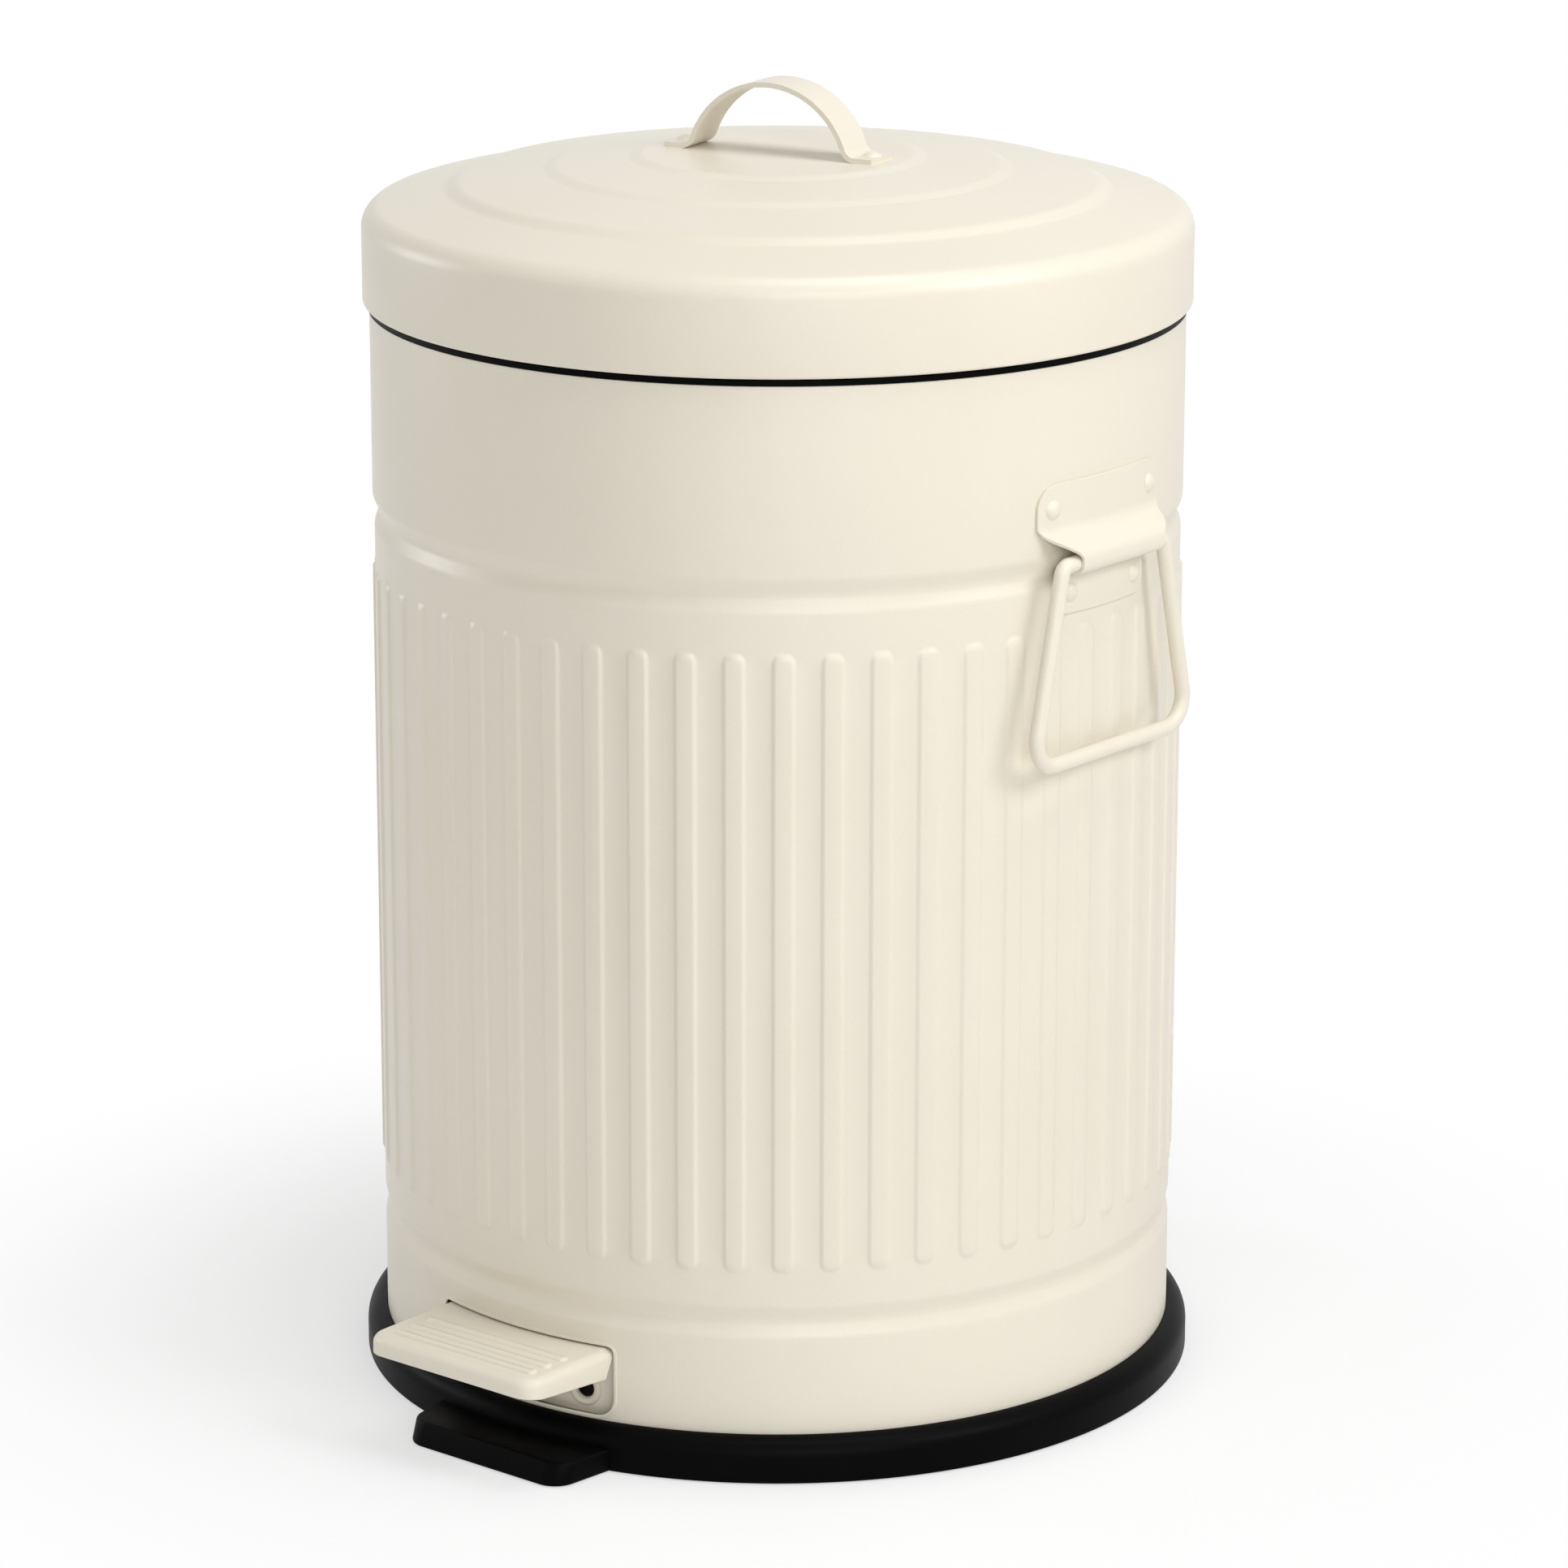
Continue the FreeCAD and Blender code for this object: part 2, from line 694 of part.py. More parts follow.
def bail_right():
    """Closed trapezoid of wire that hangs from the clip at +X."""
    points = [V(bail_radius, y - bail_shift, z) for y, z in (
        (-bail_half_top, bail_z), (-bail_half_bottom, bail_z - bail_drop),
        (bail_half_bottom, bail_z - bail_drop), (bail_half_top, bail_z))]
    start = V(bail_radius, 0, bail_z)
    corners = [bail_top_corner, bail_corner, bail_corner, bail_top_corner]
    edges = rounded([start] + points + [start], corners)
    return wire_along(edges, start, Y, bail_wire)


def bracket_rivets_right():
    grip = bracket_sheet + sheet
    upper = [rivet(seat, out, grip) for seat, out in right_rivets[:2]]
    return upper + [rivet(seat, out, grip + groove_room) for seat, out in right_rivets[2:]]


def to_left(shapes):
    return [shape.rotated(ORIGIN, Z, 180) for shape in shapes]


# ---------------------------------------------------------------- lid hinge
def hinge_bracket():
    half = hinge_plate_half
    plate = sleeve(band_radius, band_radius + hinge_sheet, hinge_plate_bottom, hinge_plate_top)
    plate = plate.common(block(-half, half, 0, body_radius * 2, 0, body_height))
    root = band_radius - 1
    ear = outline(flat((root, hinge_plate_bottom + 4), (root + 8, hinge_plate_bottom + 4),
                       (hinge_y + 6, hinge_z - 6), (hinge_y + 6, hinge_z + 6), (root, hinge_z + 6)),
                  [0, 4.0, 5.0, 5.0, 0])
    ears = [across(ear, hinge_sheet / 2) for _ in (-1, 1)]
    for side, shape in zip((-1, 1), ears):
        shape.translate(V(side * (ear_inner + ear_outer) / 2, 0, 0))
    bracket = plate.fuse(ears).removeSplitter()
    cutters = [rivet_hole(seat, out) for seat, out in hinge_rivets]
    cutters.append(rod_x(pin_radius + running_clearance, ear_outer + 5, hinge_y, hinge_z))
    cutters.append(Part.makeCylinder(band_radius, body_height))
    return bracket.cut(cutters)


def hinge_pin():
    pin = rod_x(pin_radius, ear_outer + 1.5, hinge_y, hinge_z)
    heads = [Part.makeCylinder(pin_radius + 1.5, 1.5, V(ear_outer if side > 0 else -ear_outer - 1.5,
                                                       hinge_y, hinge_z), X) for side in (-1, 1)]
    return pin.fuse(heads).removeSplitter()


def lid_hinge_arm():
    """Leaf on the lid's skirt, web down to the knuckle and finger that the push rod lifts."""
    low, high = leaf_bottom, leaf_bottom + leaf_height
    leaf = sleeve(lid_radius, lid_radius + hinge_sheet, low, high)
    leaf = leaf.common(block(-leaf_half_width, leaf_half_width, 0, body_radius * 2, 0, high + 1))
    axis = V(hinge_y, hinge_z, 0)
    top = V(lid_radius + hinge_sheet / 2, low + 2.5, 0)
    web = across(link(top, axis, 3.0), leaf_half_width)
    web = web.cut(Part.makeCylinder(lid_radius, body_height * 2))
    knuckle = rod_x(knuckle_radius, hinge_half_width, hinge_y, hinge_z)
    nose = V(finger_y, finger_z, 0)
    finger = across(link(axis, nose, 2 * finger_nose), finger_half_width)
    tip = rod_x(finger_nose, finger_half_width, finger_y, finger_z)
    arm = leaf.fuse([web, knuckle, finger, tip]).removeSplitter()
    cutters = [rivet_hole(seat, out) for seat, out in leaf_rivets]
    cutters.append(rod_x(pin_radius + running_clearance, hinge_half_width + 5, hinge_y, hinge_z))
    return arm.cut(cutters)


# ---------------------------------------------------------------- push rod at the back
def push_rod():
    bottom = lever_top + foot_gap + foot_radius
    return Part.makeCylinder(rod_radius, head_top - head_height - bottom, V(0, rod_y, bottom))


def rod_head():
    z = head_top - head_height
    head = block(-finger_half_width, finger_half_width, rod_y - head_half, rod_y + head_half, z, head_top)
    edges = [edge for edge in head.Edges if abs(edge.BoundBox.ZLength - head_height) < 0.01]
    return head.makeFillet(1.0, edges)


def rod_foot():
    centre = V(0, rod_y, lever_top + foot_gap + foot_radius)
    ball = Part.makeSphere(foot_radius, centre)
    neck = Part.makeCylinder(foot_radius, 6, centre)
    return ball.fuse(neck).removeSplitter().cut(Part.makeCylinder(rod_radius, 20, centre))


def rod_cover():
    """Channel over the push rod, with a flange each side that lies on the ribs."""
    inner = cover_half_width - cover_sheet
    outer_y = cover_rest + cover_depth
    flange_x = cover_half_width + cover_flange
    channel = block(-cover_half_width, cover_half_width, cover_rest - 5, outer_y, cover_bottom, cover_top)
    verticals = [edge for edge in channel.Edges
                 if edge.BoundBox.ZLength > 10 and edge.BoundBox.YMin > outer_y - 1]
    channel = channel.makeFillet(2.5, verticals)
    flanges = sleeve(cover_rest, cover_rest + cover_sheet, cover_bottom, cover_top)
    flanges = flanges.common(block(-flange_x, flange_x, 0, outer_y, cover_bottom, cover_top))
    hollow = block(-inner, inner, cover_rest - 8, outer_y - cover_sheet, cover_bottom - 1, cover_top + 1)
    cutters = [hollow, Part.makeCylinder(cover_rest, body_height)]
    cutters += [rivet_hole(seat, out) for seat, out in cover_rivets]
    return channel.fuse(flanges).removeSplitter().cut(cutters)


def rod_guide(z):
    """Block that fills the channel and guides the rod."""
    inner = cover_half_width - cover_sheet - slip
    outer_y = cover_rest + cover_depth - cover_sheet - 2 * slip
    guide = block(-inner, inner, cover_rest - 2, outer_y, z, z + guide_height)
    bore = Part.makeCylinder(rod_radius + running_clearance, guide_height, V(0, rod_y, z))
    return guide.cut([bore, Part.makeCylinder(cover_rest, body_height)])


# ---------------------------------------------------------------- pedal and lever
def pedal_outline(inset):
    half = pedal_half_width - inset
    front = pedal_front - inset
    points = flat((-half, -pedal_tail), (-half, -front), (half, -front), (half, -pedal_tail))
    corner = pedal_corner - inset
    return outline(points, [0, corner, corner, 0])


def pedal_plate():
    """Pressed tread with a turned-down edge outside the body and three grip ribs."""
    bottom = pedal_top - pedal_flange_rear
    face = Part.Face(pedal_outline(0))
    face.translate(V(0, 0, bottom))
    tread = face.extrude(V(0, 0, pedal_flange_rear))
    rim = [edge for edge in tread.Edges
           if edge.BoundBox.ZMin > pedal_top - 0.1 and edge.BoundBox.YMax < -pedal_tail - 1
           or edge.BoundBox.ZMin > pedal_top - 0.1 and edge.BoundBox.YLength > 10]
    tread = tread.makeFillet(2.2, rim)
    hollow = Part.Face(pedal_outline(pedal_sheet))
    hollow.translate(V(0, 0, bottom - 1))
    hollow = hollow.extrude(V(0, 0, pedal_flange_rear + 1 - pedal_sheet))
    inside = Part.makeCone(body_radius + 5, body_radius - 1, pedal_flange_rear - pedal_sheet + 1,
                           V(0, 0, bottom - 1))
    slope = across(polygon((-pedal_front - 1, bottom - 1), (-body_radius, bottom - 1), (-body_radius, bottom),
                           (-pedal_front - 1, pedal_top - pedal_flange)), pedal_half_width + 1)
    hole = Part.makeCylinder(rivet_shank + hole_clearance, 20, V(0, -pedal_rivet_y, pedal_top - 10))
    return tread.cut([hollow, inside, slope]).fuse(grips() + [pedal_apron()]).cut(hole)


def pedal_apron():
    """Curved skirt inside the opening, cut out round the lever, with a rolled hole at each side."""
    half, top = apron_half_width, pedal_top - pedal_sheet / 2
    skirt = sleeve(apron_radius - apron_sheet, apron_radius, apron_bottom, top)
    skirt = skirt.common(block(-half, half, -body_radius, 0, apron_bottom, top))
    room = lever_half_width + 2 * slip
    floor = lever_front_z - 2 * slip
    skirt = skirt.cut(block(-room, room, -body_radius, 0, floor, pedal_top - pedal_sheet))
    for side in (-1, 1):
        seat, out = radial(side * apron_hole_x, apron_hole_z, apron_radius - apron_sheet / 2, Y * -1)
        skirt = skirt.fuse(Part.makeTorus(apron_hole + apron_lip, apron_lip, seat, out))
        skirt = skirt.cut(Part.makeCylinder(apron_hole, 6, seat - out * 3, out))
    return skirt


def grips():
    ribs = []
    for reach in grip_ribs:
        y, z = -reach, pedal_top - grip_radius + grip_rise
        bar = rod_x(grip_radius, grip_half_length, y, z)
        ends = [Part.makeSphere(grip_radius, V(side * grip_half_length, y, z)) for side in (-1, 1)]
        whole = bar.fuse(ends).translated(V(grip_shift, 0, 0))
        ribs.append(whole.common(block(-pedal_half_width, pedal_half_width, y - 2 * grip_radius,
                                       y + 2 * grip_radius, pedal_top - pedal_sheet / 2, pedal_top + grip_radius)))
    return ribs


def pedal_lever():
    """Pressed channel from the tread, under the floor pan, to the foot of the push rod."""
    shelf = pedal_top - pedal_sheet
    low = lever_top - lever_depth
    knee = base_inner_radius() - 5
    side = polygon(
        (-lever_front, shelf), (-lever_shelf, shelf), (-lever_slope_end, lever_top), (lever_end, lever_top),
        (lever_end, low), (-lever_slope_end, low), (-knee, lever_front_z),
        (-lever_front, shelf - lever_nose_depth))
    bar = across(side, lever_half_width)
    wall = lever_sheet
    hollow = polygon(
        (wall - lever_front, shelf - wall), (-lever_shelf - wall / 2, shelf - wall),
        (-lever_slope_end - wall / 2, lever_top - wall), (lever_end + 1, lever_top - wall),
        (lever_end + 1, low - 1), (wall - lever_front, low - 1))
    inside = across(hollow, lever_half_width - wall)
    bore = rod_x(pivot_radius + running_clearance, 2 * lever_half_width, 0, pivot_z)
    hole = Part.makeCylinder(rivet_shank + hole_clearance, 20, V(0, -pedal_rivet_y, shelf - 10))
    return bar.cut([inside, bore, hole])


def pedal_rivet():
    return rivet(V(0, -pedal_rivet_y, pedal_top), Z, pedal_sheet + lever_sheet)


def pivot_rivet_places():
    return [(x, y) for x in (-pivot_plate_half + 5, pivot_plate_half - 5)
            for y in (-pivot_plate_depth + 5, pivot_plate_depth - 5)]


def pivot_bracket():
    """Plate under the floor pan with two ears that carry the lever's pin."""
    top = pan_z
    plate = block(-pivot_plate_half, pivot_plate_half, -pivot_plate_depth, pivot_plate_depth,
                  top - pivot_plate, top)
    inner = lever_half_width + pivot_ear_gap
    outer = inner + pivot_ear
    ears = [block(min(a, b), max(a, b), -9, 9, pivot_z - 6, top - pivot_plate)
            for a, b in ((inner, outer), (-inner, -outer))]
    cutters = [rod_x(pivot_radius + running_clearance, 2 * outer, 0, pivot_z)]
    cutters += [Part.makeCylinder(rivet_shank + hole_clearance, 20, V(x, y, top - 10))
                for x, y in pivot_rivet_places()]
    return plate.fuse(ears).removeSplitter().cut(cutters)


def pivot_rivets():
    return [rivet(V(x, y, pan_z - pivot_plate), Z * -1, pivot_plate + pan_sheet)
            for x, y in pivot_rivet_places()]


def pivot_pin():
    half = lever_half_width + pivot_ear_gap + pivot_ear
    pin = rod_x(pivot_radius, half + 1.5, 0, pivot_z)
    heads = [Part.makeCylinder(pivot_radius + 1.5, 1.5, V(half if side > 0 else -half - 1.5, 0, pivot_z), X)
             for side in (-1, 1)]
    return pin.fuse(heads).removeSplitter()


# ---------------------------------------------------------------- inner bucket
def bucket_top_radius():
    return collar_bore - bucket_rim_gap


def inner_bucket():
    points = flat((0, bucket_bottom_z), (bucket_bottom_radius, bucket_bottom_z),
                  (bucket_top_radius(), bucket_rim_z), (bucket_rim_radius, bucket_rim_z))
    bucket = turned(strip(points, [8.0, 0.5], bucket_wall))
    return bucket.fuse(bucket_ears()).cut(bucket_bail_hole())


def ear_x():
    """Middle of the bucket's lifting ears, from the axis."""
    return bucket_bail_radius - bucket_bail_corner - bucket_ear / 2 - 1


def bucket_ears():
    """Lug inside the rim at each side, with an upright ear for the bail."""
    ears = []
    for side in (-1, 1):
        a, b = ear_x() - bucket_ear / 2, ear_x() + bucket_ear / 2
        root = bucket_top_radius() - bucket_wall / 2
        top = bucket_bail_z + 4.5
        low = bucket_rim_z - 12
        upright_ear = block(a, b, -bucket_ear_half, bucket_ear_half, low, top)
        lug = block(a, root, -bucket_ear_half, bucket_ear_half, low, bucket_rim_z)
        ears.append(upright_ear.fuse(lug) if side > 0 else upright_ear.fuse(lug).rotated(ORIGIN, Z, 180))
    return ears


def bucket_bail_hole():
    return rod_x(bucket_bail_wire + running_clearance, bucket_bail_radius, 0, bucket_bail_z)


def bucket_bail():
    """Half ring of wire folded down on the bucket's rim, with its ends turned in through the ears."""
    r, c, z = bucket_bail_radius, bucket_bail_corner, bucket_bail_z
    tip = ear_x() - bucket_ear / 2 - 2
    bend = c * (1 - math.sqrt(0.5))
    edges = [
        Part.makeLine(V(tip, 0, z), V(r - c, 0, z)),
        Part.Arc(V(r - c, 0, z), V(r - bend, bend, z), V(r, c, z)).toShape(),
        Part.Arc(V(r, c, z), V(0, r + c, z), V(-r, c, z)).toShape(),
        Part.Arc(V(-r, c, z), V(bend - r, bend, z), V(c - r, 0, z)).toShape(),
        Part.makeLine(V(c - r, 0, z), V(-tip, 0, z)),
    ]
    return wire_along(edges, V(tip, 0, z), X, bucket_bail_wire)


# ---------------------------------------------------------------- write the pieces
os.makedirs("parts", exist_ok=True)

right_bracket = bracket_right()
right_bail = bail_right()
right_bracket_rivets = bracket_rivets_right()

save("body_shell", body_shell())
save("floor_pan", floor_pan())
save("base_ring", base_ring())
save("base_foot", foot_ring())
save("base_screws", base_screws())
save("rim_collar", rim_collar())
save("lid_pads", lid_pads())
save("handle_bracket_right", right_bracket)
save("handle_bracket_left", to_left([right_bracket]))
save("bracket_rivets_right", right_bracket_rivets)
save("bracket_rivets_left", to_left(right_bracket_rivets))
save("bail_right", right_bail)
save("bail_left", to_left([right_bail]))
save("hinge_bracket", hinge_bracket())
save("hinge_bracket_rivets", [rivet(seat, out, hinge_sheet + sheet) for seat, out in hinge_rivets])
save("hinge_pin", hinge_pin())
save("lid_shell", lid_shell())
save("lid_hinge_arm", lid_hinge_arm())
save("lid_arm_rivets", [rivet(seat, out, hinge_sheet + sheet) for seat, out in leaf_rivets])
save("lid_strap", lid_strap())
save("lid_strap_rivets", lid_strap_rivets())
save("push_rod", push_rod())
save("rod_head", rod_head())
save("rod_foot", rod_foot())
save("rod_cover", rod_cover())
cover_grip = cover_seat - body_radius + sheet
save("rod_cover_rivets", [rivet(seat, out, cover_grip) for seat, out in cover_rivets])
save("rod_guide_lower", rod_guide(guide_zs[0]))
save("rod_guide_upper", rod_guide(guide_zs[1]))
save("pedal_plate", pedal_plate())
save("pedal_lever", pedal_lever())
save("pedal_rivet", pedal_rivet())
save("pivot_bracket", pivot_bracket())
save("pivot_rivets", pivot_rivets())
save("pivot_pin", pivot_pin())
save("inner_bucket", inner_bucket())
save("bucket_bail", bucket_bail())
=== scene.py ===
# %% [markdown]
# # A cream pedal bin, dressed for its picture
# This lesson finishes a round step bin in Blender. The engineering model gives every part its size and
# place, and this script gives the parts that show the softer pressings, rolled edges and paint of the
# real bin. All lengths are metres. The bin stands on the floor at the origin, its pedal towards -Y.

# %% Load the frame
import json
import math

import bpy
from mathutils import Matrix, Vector


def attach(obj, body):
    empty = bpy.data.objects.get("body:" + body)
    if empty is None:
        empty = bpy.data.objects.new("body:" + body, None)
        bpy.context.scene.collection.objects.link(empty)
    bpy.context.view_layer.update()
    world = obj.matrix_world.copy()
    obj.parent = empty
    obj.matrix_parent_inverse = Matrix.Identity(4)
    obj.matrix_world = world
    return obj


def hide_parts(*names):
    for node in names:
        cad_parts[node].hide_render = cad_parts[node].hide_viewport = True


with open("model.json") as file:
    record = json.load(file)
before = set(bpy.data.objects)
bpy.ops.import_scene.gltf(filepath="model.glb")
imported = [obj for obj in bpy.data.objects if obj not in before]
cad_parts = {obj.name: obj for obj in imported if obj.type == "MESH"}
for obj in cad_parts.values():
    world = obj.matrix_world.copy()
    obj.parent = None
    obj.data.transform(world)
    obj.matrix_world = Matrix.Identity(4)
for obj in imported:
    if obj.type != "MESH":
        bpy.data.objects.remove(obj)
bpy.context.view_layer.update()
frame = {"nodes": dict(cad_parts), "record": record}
nodes = frame["nodes"]
print("parts in the frame:", len(nodes))

MM = 0.001
body_mm = 145             # radius of the plain body, which most other sizes follow


# %% [markdown]
# ## The camera
# The picture was taken from a little above, with a long lens, and with the pedal turned to the left.
# A long lens far away keeps the sides of the round body nearly upright, so the lens and the distance
# matter more than anything else here. Both came from fitting the ellipses of the rings on the lid,
# the lid's edge and the base. The camera is made first so that each piece can be judged through it.

# %% Camera
lens_px = 7499.2          # focal length in pixels of the square picture
picture_px = 1932
camera_far = 15.774 * body_mm * MM         # the fit gives the distance in radii of the body
lift = math.radians(20.746)                # how high the camera stands, seen from the bin's foot
pitch = math.radians(-15.613)              # how far it looks down
yaw = math.radians(0.064)
roll = math.radians(0.070)
turn = Matrix.Rotation(math.radians(39.2), 3, "Z")

ahead = Vector((math.sin(yaw) * math.cos(pitch), math.cos(yaw) * math.cos(pitch), math.sin(pitch)))
right = ahead.cross(Vector((0, 0, 1))).normalized()
above = right.cross(ahead)
right, above = (right * math.cos(roll) + above * math.sin(roll),
                above * math.cos(roll) - right * math.sin(roll))
place = turn @ Vector((0, -camera_far * math.cos(lift), camera_far * math.sin(lift)))
axes = Matrix((turn @ right, turn @ above, turn @ -ahead)).transposed().to_4x4()

lens = bpy.data.cameras.new("camera")
lens.sensor_width = 36
lens.lens = lens_px / picture_px * lens.sensor_width
camera = bpy.data.objects.new("camera", lens)
camera.matrix_world = Matrix.Translation(place) @ axes
bpy.context.scene.collection.objects.link(camera)
bpy.context.scene.camera = camera
print("lens", round(lens.lens, 1), "mm, camera at", [round(c, 3) for c in place])


# %% [markdown]
# ## Small helpers
# One helper turns the hex colour of a paint chip, which is an sRGB value, into the linear numbers that
# shaders work with. Another adds a shader node with its settings and links, so that a material reads
# as a short list of nodes. Two more start an empty material and end it with its output.

# %% Helpers for colours and nodes
def linear(code):
    """Linear RGBA from a hex colour such as "ece6da"."""
    parts = [int(code[i:i + 2], 16) / 255 for i in (0, 2, 4)]
    return [p / 12.92 if p <= 0.04045 else ((p + 0.055) / 1.055) ** 2.4 for p in parts] + [1.0]


def node(tree, kind, inputs=None, **settings):
    """Add a node; a value of inputs is either a number or colour, or a socket to link from."""
    made = tree.nodes.new(kind)
    for name, value in settings.items():
        setattr(made, name, value)
    for name, value in (inputs or {}).items():
        if isinstance(value, bpy.types.NodeSocket):
            tree.links.new(value, made.inputs[name])
        else:
            made.inputs[name].default_value = value
    return made


def new_material(name):
    """Empty node material, and the object's own coordinates in metres."""
    material = bpy.data.materials.new(name)
    material.use_nodes = True
    tree = material.node_tree
    tree.nodes.clear()
    place_in = node(tree, "ShaderNodeTexCoord").outputs["Object"]
    return material, tree, place_in


def finish_material(tree, shader):
    """End a material with its output."""
    node(tree, "ShaderNodeOutputMaterial", {"Surface": shader.outputs[0]})


# %% [markdown]
# ## Cream powder coat
# The steel is painted with powder that melts in an oven. It flows into a satin skin with a faint
# "orange peel", waves a millimetre or two across, and a fine grain under it. The real grain is about
# 0.3 mm and is drawn 1.2 mm wide, and the waves are drawn 2.2 mm long, so that both show in the
# picture. Large, very weak clouds keep the colour from being the same all over, as on a real sheet
# where the coat varies in thickness.

# %% Cream powder coat on steel
cloud_mm = 90
grain_mm = 1.2            # 0.3 mm in life
peel_mm = 2.2             # 1 to 2 mm in life
gloss_spread = 0.04       # how far the roughness wanders to each side


def powder_coat(name, colour, shade, roughness):
    """Satin paint between two tones that lie close together."""
    material, tree, place_in = new_material(name)
    clouds = node(tree, "ShaderNodeTexNoise", {"Vector": place_in, "Scale": 1000 / cloud_mm, "Detail": 3.0})
    fleck = node(tree, "ShaderNodeTexNoise", {"Vector": place_in, "Scale": 1000 / grain_mm, "Detail": 2.0})
    mixed = node(tree, "ShaderNodeMix", {"Factor": 0.35, 2: clouds.outputs["Fac"],
                                         3: fleck.outputs["Fac"]}, data_type="FLOAT")
    tone = node(tree, "ShaderNodeValToRGB", {"Fac": mixed.outputs[0]})
    tone.color_ramp.elements[0].position = 0.3
    tone.color_ramp.elements[0].color = linear(shade)
    tone.color_ramp.elements[1].position = 0.7
    tone.color_ramp.elements[1].color = linear(colour)
    peel = node(tree, "ShaderNodeTexNoise", {"Vector": place_in, "Scale": 1000 / peel_mm, "Detail": 1.0})
    bump = node(tree, "ShaderNodeBump", {"Height": peel.outputs["Fac"], "Strength": 0.12,
                                         "Distance": 0.2 * MM})
    gloss = node(tree, "ShaderNodeMapRange", {"Value": fleck.outputs["Fac"],
                                              "To Min": roughness - gloss_spread,
                                              "To Max": roughness + gloss_spread})
    paint = node(tree, "ShaderNodeBsdfPrincipled", {
        "Base Color": tone.outputs["Color"], "Roughness": gloss.outputs["Result"],
        "Normal": bump.outputs["Normal"], "IOR": 1.5})
    finish_material(tree, paint)
    return material


cream = powder_coat("cream_powder_coat", "e6dfcf", "e2dbca", 0.38)
print("paint:", cream.name)

# %% [markdown]
# ## Black plastic and rubber
# The base ring and the rim collar are moulded plastic with a fine spark-eroded grain, which turns a
# black surface satin. The foot ring and the bumpers are rubber: duller, a little lighter and with hardly
# any highlight. The bucket inside is dark grey plastic. The grain is about 0.4 mm in life on all three
# and is drawn 0.8 to 1.2 mm wide so that it shows.

# %% Moulded black plastic, rubber and the grey bucket plastic
patch_mm = 30             # clouds of the mould's polish
patch_spread = 0.06       # how far they move the roughness to each side


def moulded(name, colour, shade, roughness, grain, depth, shine):
    """Moulded plastic: width and depth of its grain in millimetres, shine as the specular level."""
    material, tree, place_in = new_material(name)
    pebbles = node(tree, "ShaderNodeTexVoronoi", {"Vector": place_in, "Scale": 1000 / grain})
    patches = node(tree, "ShaderNodeTexNoise", {"Vector": place_in, "Scale": 1000 / patch_mm,
                                                "Detail": 4.0})
    tone = node(tree, "ShaderNodeMix", {"Factor": patches.outputs["Fac"], 6: linear(shade),
                                        7: linear(colour)}, data_type="RGBA")
    gloss = node(tree, "ShaderNodeMapRange", {"Value": patches.outputs["Fac"],
                                              "To Min": roughness - patch_spread,
                                              "To Max": roughness + patch_spread})
    bump = node(tree, "ShaderNodeBump", {"Height": pebbles.outputs["Distance"], "Strength": 0.15,
                                         "Distance": depth * MM})
    plastic = node(tree, "ShaderNodeBsdfPrincipled", {
        "Base Color": tone.outputs[2], "Roughness": gloss.outputs["Result"],
        "Normal": bump.outputs["Normal"], "IOR": 1.48, "Specular IOR Level": shine})
    finish_material(tree, plastic)
    return material


black = moulded("moulded_black_plastic", "060606", "030303", 0.42, 0.8, 0.1, 0.04)
rubber = moulded("black_rubber", "161616", "101010", 0.8, 1.2, 0.2, 0.2)
grey = moulded("moulded_grey_plastic", "4a4b4d", "424345", 0.5, 1.0, 0.1, 0.5)
print("plastics:", black.name, rubber.name, grey.name)

# %% [markdown]
# ## Zinc-plated steel
# The lever, the pins and the rod inside are bright zinc-plated steel. Plating follows the rolled
# steel, so the shine is broken by fine streaks along the bar and by cloudy patches. The streaks are
# about 0.1 mm apart in life and are drawn 0.4 mm apart and 8 mm long.

# %% Zinc-plated steel
streak_scale = (2500.0, 120.0, 120.0)      # streaks a metre: across the bars in X, along them in Y and Z
zinc, zinc_tree, zinc_place = new_material("zinc_plated_steel")
streak_place = node(zinc_tree, "ShaderNodeMapping", {"Vector": zinc_place, "Scale": streak_scale})
streaks = node(zinc_tree, "ShaderNodeTexNoise", {"Vector": streak_place.outputs["Vector"], "Scale": 1.0})
bloom = node(zinc_tree, "ShaderNodeTexNoise", {"Vector": zinc_place, "Scale": 1 / 0.012, "Detail": 5.0})
zinc_tone = node(zinc_tree, "ShaderNodeMix", {"Factor": bloom.outputs["Fac"], 6: linear("b9bcbd"),
                                              7: linear("d0d1cf")}, data_type="RGBA")
zinc_gloss = node(zinc_tree, "ShaderNodeMapRange", {"Value": streaks.outputs["Fac"], "To Min": 0.26,
                                                    "To Max": 0.46})
zinc_bump = node(zinc_tree, "ShaderNodeBump", {"Height": streaks.outputs["Fac"], "Strength": 0.1,
                                               "Distance": 0.0001})
plated = node(zinc_tree, "ShaderNodeBsdfPrincipled", {
    "Base Color": zinc_tone.outputs[2], "Metallic": 1.0, "Roughness": zinc_gloss.outputs["Result"],
    "Normal": zinc_bump.outputs["Normal"]})
finish_material(zinc_tree, plated)
print("metal:", zinc.name)

# %% [markdown]
# ## Painting the parts of the model
# The engineering model says what each part is made of: cream paint, black plastic, rubber, grey plastic
# or zinc-plated steel. Painting by hand would mean a list of thirty-six names. Each part gets the finish
# of its own slot instead, so the list is never out of step with the model.

# %% Paint the parts of the frame
finish_of_slot = {"cream_paint": cream, "black_plastic": black, "black_rubber": rubber,
                  "grey_plastic": grey, "zinc_steel": zinc}
for part in frame["record"]["subparts"]:
    shown = nodes[part["node"]]
    shown.data.materials.clear()
    shown.data.materials.append(finish_of_slot[part["material_slot"]])

